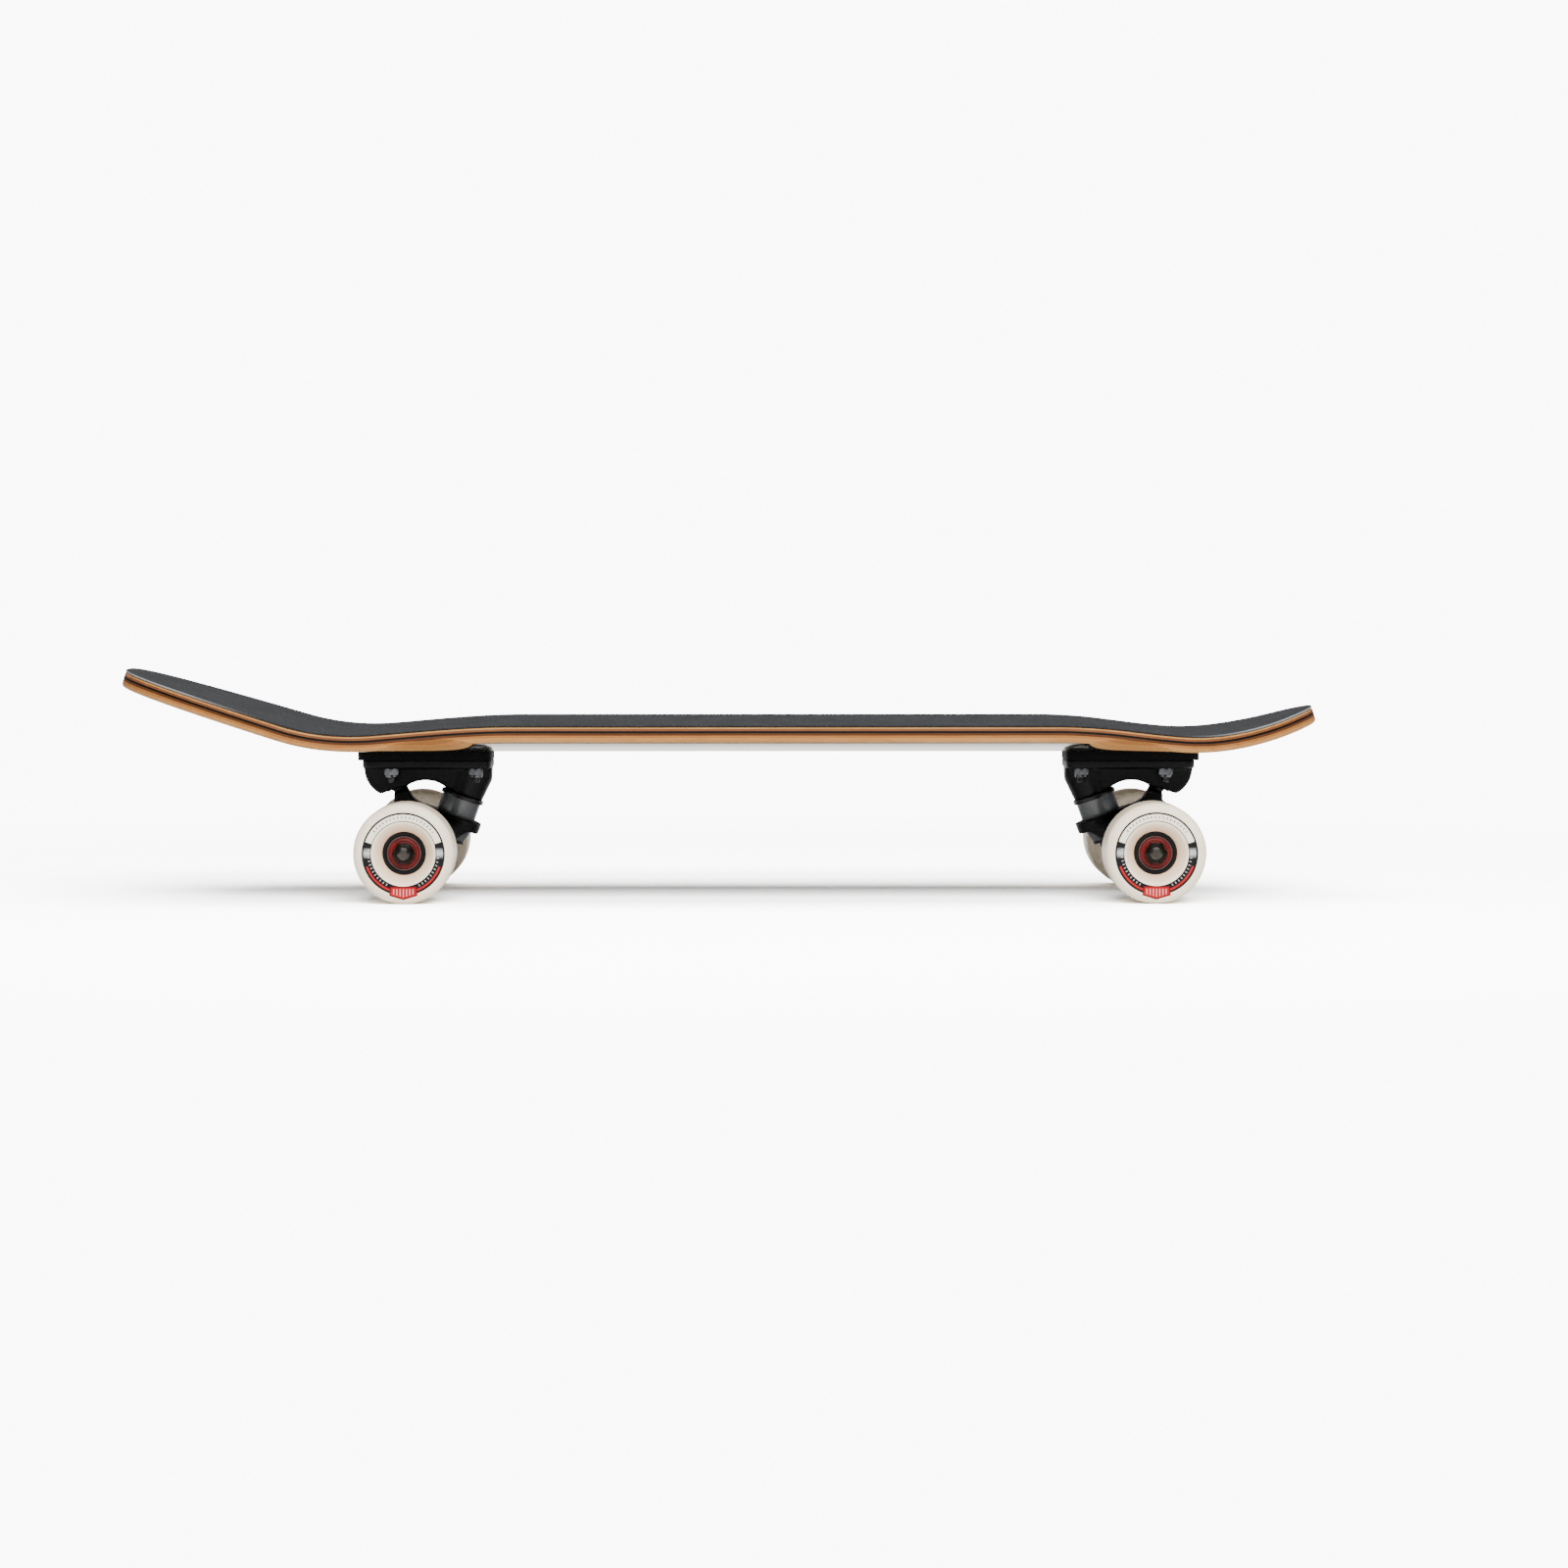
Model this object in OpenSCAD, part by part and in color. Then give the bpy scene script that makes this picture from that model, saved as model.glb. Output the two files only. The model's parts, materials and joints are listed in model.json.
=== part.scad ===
// Cruiser skateboard with a kicked tail, a short upturned nose and two kingpin trucks.
// +X points to the nose, +Z up, origin on the ground under the middle of the board.

/* [Deck] */
// Length of the deck, tip to tip
deck_length = 762; // [700:1:900]
// Width of the deck
deck_width = 229; // [200:1:260]
// Number of maple plies glued together
ply_count = 7; // [5:1:9]
// Thickness of one ply
ply_thickness = 1.4; // [1.2:0.05:1.6]
// Thickness of the grip tape
grip_thickness = 1; // [0.6:0.1:1.6]
// Chamfer on the edge of the deck
deck_chamfer = 1.6; // [0.5:0.1:2.2]
// How far the edges rise above the middle between the trucks
concave_depth = 8.3; // [2:0.1:12]
// Width of the flat strip down the middle of the deck
flat_width = 64; // [62:1:90]

/* [Tail and nose] */
// Tail tip to the outer bolts of the rear truck
tail_to_bolts = 171; // [140:1:200]
// Outer rear bolts to the start of the tail bend
tail_bend_gap = 3.4; // [2:0.1:12]
// Radius of the tail bend
tail_bend_radius = 216.5; // [180:0.5:260]
// Slope of the tail
tail_angle = 17; // [10:0.5:22]
// Length over which the tail narrows to its tip
tail_round_length = 131; // [90:1:150]
// Outer front bolts to the start of the nose bend
nose_bend_gap = 4.4; // [2:0.1:12]
// Radius of the nose bend
nose_bend_radius = 237; // [180:1:260]
// Slope of the nose at its tip
nose_angle = 17.6; // [8:0.1:20]
// Length over which the nose narrows to its tip
nose_round_length = 141; // [90:1:160]

/* [Truck placing] */
// Inner bolts of one truck to the inner bolts of the other
wheelbase = 386.4; // [340:0.1:420]
// Bolt to bolt along the deck
bolt_spacing_x = 53.98; // [53.98, 63.5]
// Bolt to bolt across the deck
bolt_spacing_y = 41.28; // [41.28]
// Middle of the bolts to the axle, outwards
bolts_to_axle = 14.2; // [10:0.1:18]
// Axle centre to the top of the baseplate
truck_height = 55.05; // [52:0.05:60]
// Thickness of the riser pad
riser_thickness = 6.35; // [3.2:0.05:12.7]

/* [Wheels] */
// Diameter of the wheels
wheel_diameter = 63; // [58:1:66]
// Width of the wheels
wheel_width = 43; // [38:0.5:46]
// Radius on the lips of the wheels
lip_radius = 5.5; // [2:0.1:7]
// Outer diameter of the hard core
core_diameter = 27.1; // [25:0.1:29]
// Radius at which the wheel face starts to dish in
dish_radius = 19.5; // [17:0.1:22]
// Width of the hanger, shoulder to shoulder
hanger_width = 149; // [140:1:170]

/* [Bearings and axle] */
// Outer diameter of a bearing
bearing_od = 22; // [22]
// Bore of a bearing
bearing_id = 8; // [8]
// Width of a bearing
bearing_width = 7; // [7]
// Length of the spacer between the two bearings
spacer_length = 10.3; // [8:0.1:11]
// Diameter of the axle
axle_diameter = 7.94; // [7.94]
// Thickness of a speed washer
speed_washer_thickness = 1; // [0.5:0.1:1.5]
// Thickness of an axle nut
axle_nut_height = 6; // [5:0.1:7]
// Across the flats of an axle nut
axle_nut_flats = 12.7; // [12.7]
// Axle standing past its nut
axle_proud = 2; // [0.5:0.1:3]

/* [Kingpin and bushings] */
// Tilt of the kingpin from vertical
kingpin_tilt = 20; // [15:0.5:24]
// Diameter of the kingpin
kingpin_diameter = 9.52; // [9.52]
// Bushing and seat diameter
bushing_diameter = 25.2; // [24:0.1:26]
// Small end of the cone bushing
cone_diameter = 21.2; // [18:0.1:23]
// Height of the upper bushing
top_bushing_height = 14; // [12:0.1:15]
// Height of the lower cone bushing
bottom_bushing_height = 9.3; // [8:0.1:11]
// Diameter of the cup washer
cup_washer_diameter = 28; // [27:0.1:30]
// Steel thickness of the washers
washer_thickness = 1.3; // [1:0.1:2]
// Outer diameter of the ring that holds the bushings
yoke_diameter = 35; // [33:0.5:38]
// Thickness of the ring that holds the bushings
yoke_thickness = 7.3; // [6:0.1:9]
// Diameter of the pivot pin
pivot_diameter = 8.8; // [8:0.1:9.4]

/* [Bolts] */
// Diameter of the truck bolts
bolt_diameter = 4.8; // [4.8]
// Length of the truck bolts
bolt_length = 31.5; // [30:0.1:38]
// Diameter of the countersunk bolt heads
bolt_head_diameter = 9.2; // [8.5:0.1:9.6]
// Across the flats of the truck nuts
nut_flats = 8.73; // [8.73]
// Height of the truck nuts
nut_height = 5.9; // [4:0.1:6]

/* [Hidden] */
$fn = 64;
HULL_FN = 32;
MM_GAP = 0.05;                 // running clearance on a radius
PLAY = 0.3;                    // clearance of a bolt in its hole, on the diameter
CUT = 1;                       // how far a cut runs past the face it opens

// Wheel and bearing positions, measured from the middle of a wheel outwards
axle_z = wheel_diameter / 2;
bearing_inner = spacer_length / 2;
bearing_outer = bearing_inner + bearing_width;
washer_outer = bearing_outer + speed_washer_thickness;
nut_outer = washer_outer + axle_nut_height;
axle_end = nut_outer + axle_proud;
wheel_y = hanger_width / 2 + speed_washer_thickness + bearing_outer;
core_overhang = 0.3;
core_half = bearing_outer + core_overhang;

// Ball bearing insides
ball_radius = 1.95;
ball_pitch_radius = (bearing_od + bearing_id) / 4;
ball_count = 7;
inner_race_radius = 6.2;
outer_race_radius = 8.8;
shield_seat_radius = 10.2;
shield_thickness = 0.5;
shield_recess = 0.25;
shield_gap = 0.15;
cage_size = 1.2;
core_ledge_radius = outer_race_radius + 0.6;
spacer_radius = 5.4;
speed_washer_radius = inner_race_radius - 0.3;

// Deck heights and stations
deck_thickness = ply_count * ply_thickness;
baseplate_top = axle_z + truck_height;
deck_bottom = baseplate_top + riser_thickness;
deck_middle = deck_bottom + deck_thickness / 2;
grip_top = deck_bottom + deck_thickness + grip_thickness;
half_length = deck_length / 2;
half_width = deck_width / 2;
tip_half_width = 5;
tip_straight = 5;
tail_fullness = 2.9;
nose_fullness = 2;
tip_bluntness = 1.5;
rear_bolts_x = -half_length + tail_to_bolts + bolt_spacing_x / 2;
front_bolts_x = rear_bolts_x + wheelbase + bolt_spacing_x;
rear_axle_x = rear_bolts_x - bolts_to_axle;
front_axle_x = front_bolts_x + bolts_to_axle;
tail_bend_x = rear_bolts_x - bolt_spacing_x / 2 - tail_bend_gap;
nose_bend_x = front_bolts_x + bolt_spacing_x / 2 + nose_bend_gap;
tail_bend_end = tail_bend_x - tail_bend_radius * sin(tail_angle);
nose_bend_end = min(nose_bend_x + nose_bend_radius * sin(nose_angle), half_length - tip_straight);

// The edges sink back to flat over these lengths round the two bends
concave_in_tail = [tail_bend_x - 57, tail_bend_x + 83];
concave_in_nose = [nose_bend_x - 79, nose_bend_x + 36];

// Baseplate, in truck coordinates: x runs outwards from the axle
plate_in = -50.9;
plate_out = 31.2;
plate_width = 55;
plate_thickness = 5.25;
plate_corner = 8;
riser_in = plate_in - 0.1;
riser_out = plate_out + 2.9;
riser_width = 57;
riser_window = [-30, 14];
riser_window_width = 20;
riser_window_corner = 6;
spine_width = 24;
spine_in = plate_in + 6;
spine_out = plate_out - 0.4;
plate_bottom = baseplate_top - plate_thickness;
boss_centre = [12.5, baseplate_top - 5.5];
boss_radius = 18.3;
boss_ends = [-3, -64];
arch_centre = [-8.3, baseplate_top - 34.15];
arch_radius = 21;
arch_ends = [56.5, 131];

// Cross recess in the bolt heads
recess_length = 4.8;
recess_width = 1;
recess_depth = 1.5;

// Kingpin line: kingpin_at(t) runs down and outwards, t = 0 in the middle of the top bushing
kingpin_origin = [-29, baseplate_top - 30.55];
seat_t = -8.6;
seat_radius = bushing_diameter / 2 + 0.2;
kingpin_boss_height = 30;
kingpin_boss_flare = 3.2;
kingpin_boss_setback = 0.3;
kingpin_boss_sink = 0.5;
head_t = seat_t - 14.7;
head_bore_depth = 20;
head_height = 5.4;
kingpin_flats = 14.29;
cup_rim_height = 3;
cup_rim_wall = 1.1;
top_bushing_t = seat_t + washer_thickness;
yoke_recess = 1.2;
yoke_t = top_bushing_t + top_bushing_height - yoke_recess;
yoke_end_t = yoke_t + yoke_thickness;
bottom_bushing_t = yoke_end_t - yoke_recess;
cone_start = yoke_recess + 1.4;
bottom_washer_t = bottom_bushing_t + bottom_bushing_height;
bottom_washer_radius = cone_diameter / 2 + 0.6;
kingpin_nut_t = bottom_washer_t + washer_thickness;
kingpin_nut_height = 8;
kingpin_end_t = kingpin_nut_t + kingpin_nut_height + 2;
yoke_bore_radius = 8.2;
yoke_skirt_radius = 14.9;

// Steering axis: from the middle of the yoke ring up to the pivot
yoke_middle_t = (yoke_t + yoke_end_t) / 2;
yoke_middle = kingpin_at(yoke_middle_t);
pivot_centre = [16.5, baseplate_top - 13.35];
steer_angle = atan2(pivot_centre[1] - yoke_middle[1], pivot_centre[0] - yoke_middle[0]);
pivot_cup_wall = 1.8;
pivot_cup_depth = 5.4;
pivot_cup_mouth = 5;
pivot_tip = 3.4;
pivot_tip_radius = 2.4;
pivot_root = 13;
pivot_bore_length = 21;

// Hanger
beam_radius = 9.5;
beam_end_radius = 7.8;
beam_flat = 22;
neck_width = 12;
neck_gap = 2.4;
wing_half_span = 34;
wing_radius = 8;
neck_front_top = mouth_point(12.3) - [0, neck_gap];
neck_back_top = mouth_point(3.2) - [0, neck_gap];
neck_back_steps = [[-1.6, -3.2], [-4.4, -6.8], [-8.8, -9.2]];
neck_front_foot = [11.6, axle_z + 16];
neck_front_drop = 6;
neck_yoke_reach = [yoke_diameter / 2 - 0.6, yoke_diameter / 2 - 1.4];
web_inset = 1;
web_thickness = 2.2;
yoke_seat_depth = 4;
yoke_clear_up = 20;
yoke_clear_down = 40;

// Wheel wells carved under the edges of the deck
well_radius = 100;
well_depth = 4.2;
well_tilt = 12.7;
well_inboard = 21;
well_reach = 62;
well_outboard = 10;

// ---------- deck surface ----------

function ease(t) = let (c = min(1, max(0, t))) c * c * (3 - 2 * c);

// Height of the middle of the plies, and slope, at a place along the deck
function deck_line(x) =
    x < tail_bend_end ? [
        deck_middle + tail_bend_radius * (1 - cos(tail_angle)) + (tail_bend_end - x) * tan(tail_angle),
        -tail_angle
    ] :
    x < tail_bend_x ? bend(x - tail_bend_x, tail_bend_radius) :
    x < nose_bend_x ? [deck_middle, 0] :
    x < nose_bend_end ? bend(x - nose_bend_x, nose_bend_radius) :
    let (last = bend(nose_bend_end - nose_bend_x, nose_bend_radius))
    [last[0] + (x - nose_bend_end) * tan(last[1]), last[1]];

function bend(run, radius) =
    let (slope = asin(run / radius)) [deck_middle + radius * (1 - cos(slope)), slope];

// Half width of the deck: rounded towards both tips
function outline(x) =
    let (tail = (x + half_length) / tail_round_length, nose = (half_length - x) / nose_round_length)
    max(tip_half_width, half_width * min(tip_share(tail, tail_fullness), tip_share(nose, nose_fullness)));

function tip_share(t, fullness) = t >= 1 ? 1 : pow(1 - pow(1 - max(0, t), tip_bluntness), 1 / fullness);

// Rise of the edges over the middle
function concave(x) =
    concave_depth
    * ease((x - concave_in_tail[0]) / (concave_in_tail[1] - concave_in_tail[0]))
    * (1 - ease((x - concave_in_nose[0]) / (concave_in_nose[1] - concave_in_nose[0])));

function cross_rise(y) = let (side = max(0, abs(y) - flat_width / 2) / (half_width - flat_width / 2))
    side * side;

// A point of the deck: y across, h above the middle of the plies
function deck_point(x, y, h) =
    let (line = deck_line(x), lift = h + concave(x) * cross_rise(y))
    [x - sin(line[1]) * lift, y, line[0] + cos(line[1]) * lift];

// Shares of the half width: the flat strip in the middle, then even steps out to the rim
FLAT_SHARE = flat_width / 2 / (half_width - deck_chamfer);
RISING = [for (k = [0 : 6]) FLAT_SHARE + (1 - FLAT_SHARE) * k / 6];
CROSS = concat(flipped(-RISING), RISING);
STATIONS = concat(
    [for (k = [0 : 11]) -half_length + (tail_bend_end + half_length) * pow(k / 12, 2)],
    [for (k = [0 : 3]) tail_bend_end + (tail_bend_x - tail_bend_end) * k / 4],
    [for (k = [0 : 4]) tail_bend_x + (concave_in_tail[1] - tail_bend_x) * k / 5],
    [for (k = [0 : 3]) concave_in_tail[1] + (concave_in_nose[0] - concave_in_tail[1]) * k / 4],
    [for (k = [0 : 4]) concave_in_nose[0] + (nose_bend_x - concave_in_nose[0]) * k / 5],
    [for (k = [0 : 14]) half_length - (half_length - nose_bend_x) * pow(1 - k / 14, 2)]
);

function cross_row(x, h, inset) = [for (v = CROSS) deck_point(x, v * (outline(x) - inset), h)];
function flipped(list) = [for (k = [len(list) - 1 : -1 : 0]) list[k]];

// Section of the deck, from the lower left edge round to the upper left edge
function deck_ring(x) = let (h = deck_thickness / 2, c = deck_chamfer, w = outline(x)) concat(
    [deck_point(x, -w, c - h)],
    cross_row(x, -h, c),
    [deck_point(x, w, c - h), deck_point(x, w, h - c)],
    flipped(cross_row(x, h, c)),
    [deck_point(x, -w, h - c)]
);

function grip_ring(x) = let (h = deck_thickness / 2) concat(
    cross_row(x, h, deck_chamfer),
    flipped(cross_row(x, h + grip_thickness, deck_chamfer))
);

// Closed skin through a list of rings whose two halves mirror each other, point n - 1 - k over point k.
// The quads of the lower half are split along the same diagonals as those above them.
module skin(rings) {
    n = len(rings[0]);
    last = (len(rings) - 1) * n;
    polyhedron(
        points = [for (ring = rings) each ring],
        faces = concat(
            [for (k = [0 : n / 2 - 2]) [k, k + 1, n - 2 - k]],
            [for (k = [0 : n / 2 - 2]) [k, n - 2 - k, n - 1 - k]],
            [for (k = [0 : n / 2 - 2]) [last + k + 1, last + k, last + n - 2 - k]],
            [for (k = [0 : n / 2 - 2]) [last + n - 2 - k, last + k, last + n - 1 - k]],
            [for (i = [0 : len(rings) - 2], k = [0 : n - 1]) let (a = i * n + k, b = i * n + (k + 1) % n)
                k < n / 2 ? [a, a + n, b] : [a, a + n, b + n]],
            [for (i = [0 : len(rings) - 2], k = [0 : n - 1]) let (a = i * n + k, b = i * n + (k + 1) % n)
                k < n / 2 ? [b, a + n, b + n] : [a, b + n, b]]
        )
    );
}

// ---------- placing ----------

module at_truck(end) {
    translate([end == "front" ? front_axle_x : rear_axle_x, 0, 0])
        rotate([0, 0, end == "front" ? 0 : 180])
            children();
}

// Local +Z points away from the board, 0 in the middle of the wheel
module at_wheel(end, side) {
    translate([end == "front" ? front_axle_x : rear_axle_x, side * wheel_y, axle_z])
        rotate([-90 * side, 0, 0])
            children();
}

module both_wheels_of(end) {
    for (side = [-1, 1])
        at_wheel(end, side) children();
}

module at_bolts() {
    for (sx = [-1, 1], sy = [-1, 1])
        translate([sx * bolt_spacing_x / 2 - bolts_to_axle, sy * bolt_spacing_y / 2, 0])
            children();
}

function kingpin_at(t) =
    [kingpin_origin[0] + sin(kingpin_tilt) * t, kingpin_origin[1] - cos(kingpin_tilt) * t];

// Local +Z runs down the kingpin
module on_kingpin(t) {
    translate([kingpin_at(t)[0], 0, kingpin_at(t)[1]])
        rotate([0, 180 - kingpin_tilt, 0])
            children();
}

// Local +Z runs up the steering axis, 0 at the middle of the pivot
module on_steering() {
    translate([pivot_centre[0], 0, pivot_centre[1]])
        rotate([0, 90 - steer_angle, 0])
            children();
}

// ---------- shapes ----------

function arc(centre, radius, from, to, steps = 10) =
    [for (k = [0 : steps]) centre + radius * [cos(from + (to - from) * k / steps),
                                              sin(from + (to - from) * k / steps)]];

module rounded_rect(x0, x1, width, corner) {
    translate([(x0 + x1) / 2, 0]) {
        square([x1 - x0 - 2 * corner, width], center = true);
        square([x1 - x0, width - 2 * corner], center = true);
        for (sx = [-1, 1], sy = [-1, 1])
            translate([sx * ((x1 - x0) / 2 - corner), sy * (width / 2 - corner)])
                circle(corner);
    }
}

// Side outline in x and z, given a width in y
module side_plate(points, width) {
    translate([0, width / 2, 0])
        rotate([90, 0, 0])
            linear_extrude(width)
                polygon(points);
}

module tube(z0, z1, outer, inner) {
    difference() {
        translate([0, 0, z0]) cylinder(h = z1 - z0, r = outer);
        translate([0, 0, z0 - CUT]) cylinder(h = z1 - z0 + 2 * CUT, r = inner);
    }
}

module hex_nut(z0, height, flats, bore_radius) {
    difference() {
        translate([0, 0, z0]) cylinder(h = height, r = flats / sqrt(3), $fn = 6);
        translate([0, 0, z0 - CUT]) cylinder(h = height + 2 * CUT, r = bore_radius);
    }
}

// ---------- deck ----------

module deck() {
    color("burlywood") difference() {
        skin([for (x = STATIONS) deck_ring(x)]);
        for (end = ["front", "rear"]) {
            at_truck(end) bolt_cut();
            for (side = [-1, 1]) wheel_well(end, side);
        }
    }
}

module grip_tape() {
    color("dimgray") difference() {
        skin([for (x = STATIONS) grip_ring(x)]);
        at_truck("front") bolt_cut();
        at_truck("rear") bolt_cut();
    }
}

// Clearance hole with a countersink that takes the bolt head flush with the grip
module bolt_cut() {
    head = (bolt_head_diameter - bolt_diameter) / 2;
    at_bolts() {
        translate([0, 0, deck_bottom - CUT])
            cylinder(h = grip_top - deck_bottom + 2 * CUT, d = bolt_diameter + PLAY);
        translate([0, 0, grip_top - head])
            cylinder(h = head, d1 = bolt_diameter + PLAY, d2 = bolt_head_diameter + PLAY);
        translate([0, 0, grip_top]) cylinder(h = CUT, d = bolt_head_diameter + PLAY);
    }
}

module wheel_well(end, side) {
    x = end == "front" ? front_axle_x - well_inboard : rear_axle_x + well_inboard;
    edge = deck_point(x, side * half_width, -deck_thickness / 2);
    translate([x, side * half_width, edge[2] + well_depth])
        rotate([side * (90 + well_tilt), 0, 0])
            translate([0, -side * well_radius, -well_outboard])
                cylinder(h = well_reach + well_outboard, r = well_radius, $fn = 180);
}

// ---------- fixed half of a truck ----------

module riser_pad() {
    color("#1c1c1c") difference() {
        translate([0, 0, baseplate_top])
            linear_extrude(riser_thickness)
                rounded_rect(riser_in, riser_out, riser_width, plate_corner);
        translate([0, 0, baseplate_top - CUT]) {
            at_bolts() cylinder(h = riser_thickness + 2 * CUT, d = bolt_diameter + PLAY);
            linear_extrude(riser_thickness + 2 * CUT) translate([-bolts_to_axle, 0])
                rounded_rect(riser_window[0], riser_window[1], riser_window_width, riser_window_corner);
        }
    }
}

// Lower outline of the casting: pivot boss, face of its mouth, then the arch
function mouth_point(x) =
    let (a = spine_tip(), b = spine_arch_start())
    [x, a[1] + (b[1] - a[1]) * (x - a[0]) / (b[0] - a[0])];
function spine_tip() = boss_centre + boss_radius * [cos(boss_ends[1]), sin(boss_ends[1])];
function spine_arch_start() = arch_centre + arch_radius * [cos(arch_ends[0]), sin(arch_ends[0])];

function spine_outline() = concat(
    [[spine_in, plate_bottom + CUT], [spine_out, plate_bottom + CUT]],
    arc(boss_centre, boss_radius, boss_ends[0], boss_ends[1]),
    arc(arch_centre, arch_radius, arch_ends[0], arch_ends[1]),
    [kingpin_at(seat_t - 2)]
);

module baseplate() {
    color("#202020") difference() {
        union() {
            translate([0, 0, plate_bottom])
                linear_extrude(plate_thickness)
                    rounded_rect(plate_in, plate_out, plate_width, plate_corner);
            side_plate(spine_outline(), spine_width);
            kingpin_boss();
        }
        at_bolts() translate([0, 0, plate_bottom - CUT])
            cylinder(h = plate_thickness + 2 * CUT, d = bolt_diameter + PLAY);
        on_kingpin(head_t - CUT) cylinder(h = seat_t - head_t + 2 * CUT, d = kingpin_diameter + PLAY);
        on_kingpin(head_t - head_bore_depth)
            cylinder(h = head_bore_depth, r = kingpin_flats / sqrt(3) + PLAY);
        on_steering() translate([0, 0, -pivot_bore_length])
            cylinder(h = pivot_bore_length + pivot_cup_depth, r = pivot_diameter / 2 + pivot_cup_wall);
    }
}

// Round boss whose lower face is the bushing seat, cut off at the ends of the plate
module kingpin_boss() {
    intersection() {
        on_kingpin(seat_t - kingpin_boss_height)
            cylinder(h = kingpin_boss_height, r1 = seat_radius + kingpin_boss_flare, r2 = seat_radius);
        translate([plate_in + kingpin_boss_setback, -plate_width / 2, axle_z])
            cube([plate_out - plate_in, plate_width, truck_height - kingpin_boss_sink]);
    }
}

module truck_bolts() {
    head = (bolt_head_diameter - bolt_diameter) / 2;
    color("silver") at_bolts() difference() {
        union() {
            translate([0, 0, grip_top - bolt_length])
                cylinder(h = bolt_length - head, d = bolt_diameter);
            translate([0, 0, grip_top - head])
                cylinder(h = head, d1 = bolt_diameter, d2 = bolt_head_diameter);
        }
        for (turn = [0, 90])
            rotate([0, 0, turn]) translate([-recess_length / 2, -recess_width / 2, grip_top - recess_depth])
                cube([recess_length, recess_width, recess_depth + CUT]);
    }
}

module truck_nuts() {
    color("gray") at_bolts()
        hex_nut(plate_bottom - nut_height, nut_height, nut_flats, bolt_diameter / 2);
}

module kingpin() {
    color("dimgray") {
        on_kingpin(head_t) cylinder(h = kingpin_end_t - head_t, d = kingpin_diameter);
        on_kingpin(head_t - head_height)
            cylinder(h = head_height, r = kingpin_flats / sqrt(3), $fn = 6);
    }
}

module kingpin_nut() {
    color("dimgray") on_kingpin(kingpin_nut_t)
        hex_nut(0, kingpin_nut_height, kingpin_flats, kingpin_diameter / 2);
}

// Soft cup in the blind bore of the pivot boss
module pivot_cup() {
    color("#3a3a3a") on_steering() difference() {
        translate([0, 0, -pivot_cup_mouth])
            cylinder(h = pivot_cup_mouth + pivot_cup_depth, r = pivot_diameter / 2 + pivot_cup_wall);
        translate([0, 0, -pivot_cup_mouth - CUT])
            cylinder(h = pivot_cup_mouth + CUT, r = pivot_diameter / 2 + MM_GAP);
        cylinder(h = pivot_tip + MM_GAP, r1 = pivot_diameter / 2 + MM_GAP, r2 = pivot_tip_radius + MM_GAP);
    }
}

module top_washer() {
    color("#262626") on_kingpin(seat_t) {
        tube(0, washer_thickness, cup_washer_diameter / 2, (kingpin_diameter + PLAY) / 2);
        tube(washer_thickness / 2, cup_rim_height, cup_washer_diameter / 2,
             cup_washer_diameter / 2 - cup_rim_wall);
    }
}

module top_bushing() {
    color("#4a4d50") on_kingpin(top_bushing_t)
        tube(0, top_bushing_height, bushing_diameter / 2, (kingpin_diameter + PLAY) / 2);
}

module bottom_bushing() {
    color("#4a4d50") on_kingpin(bottom_bushing_t) difference() {
        union() {
            cylinder(h = cone_start, d = bushing_diameter);
            translate([0, 0, cone_start])
                cylinder(h = bottom_bushing_height - cone_start, d1 = bushing_diameter, d2 = cone_diameter);
        }
        translate([0, 0, -CUT])
            cylinder(h = bottom_bushing_height + 2 * CUT, d = kingpin_diameter + PLAY);
    }
}

module bottom_washer() {
    color("#262626") on_kingpin(bottom_washer_t)
        tube(0, washer_thickness, bottom_washer_radius, (kingpin_diameter + PLAY) / 2);
}

// ---------- steering half of a truck ----------

function neck_outline() = [
    neck_front_top,
    neck_back_top,
    for (step = neck_back_steps) neck_back_top + step,
    kingpin_at(yoke_t) + neck_yoke_reach[0] * [cos(kingpin_tilt), sin(kingpin_tilt)],
    kingpin_at(yoke_end_t) + neck_yoke_reach[1] * [cos(kingpin_tilt), sin(kingpin_tilt)],
    [-beam_radius * 0.8, axle_z],
    [beam_radius * 0.9, axle_z],
    neck_front_foot,
    neck_front_top - [0, neck_front_drop]
];

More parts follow.
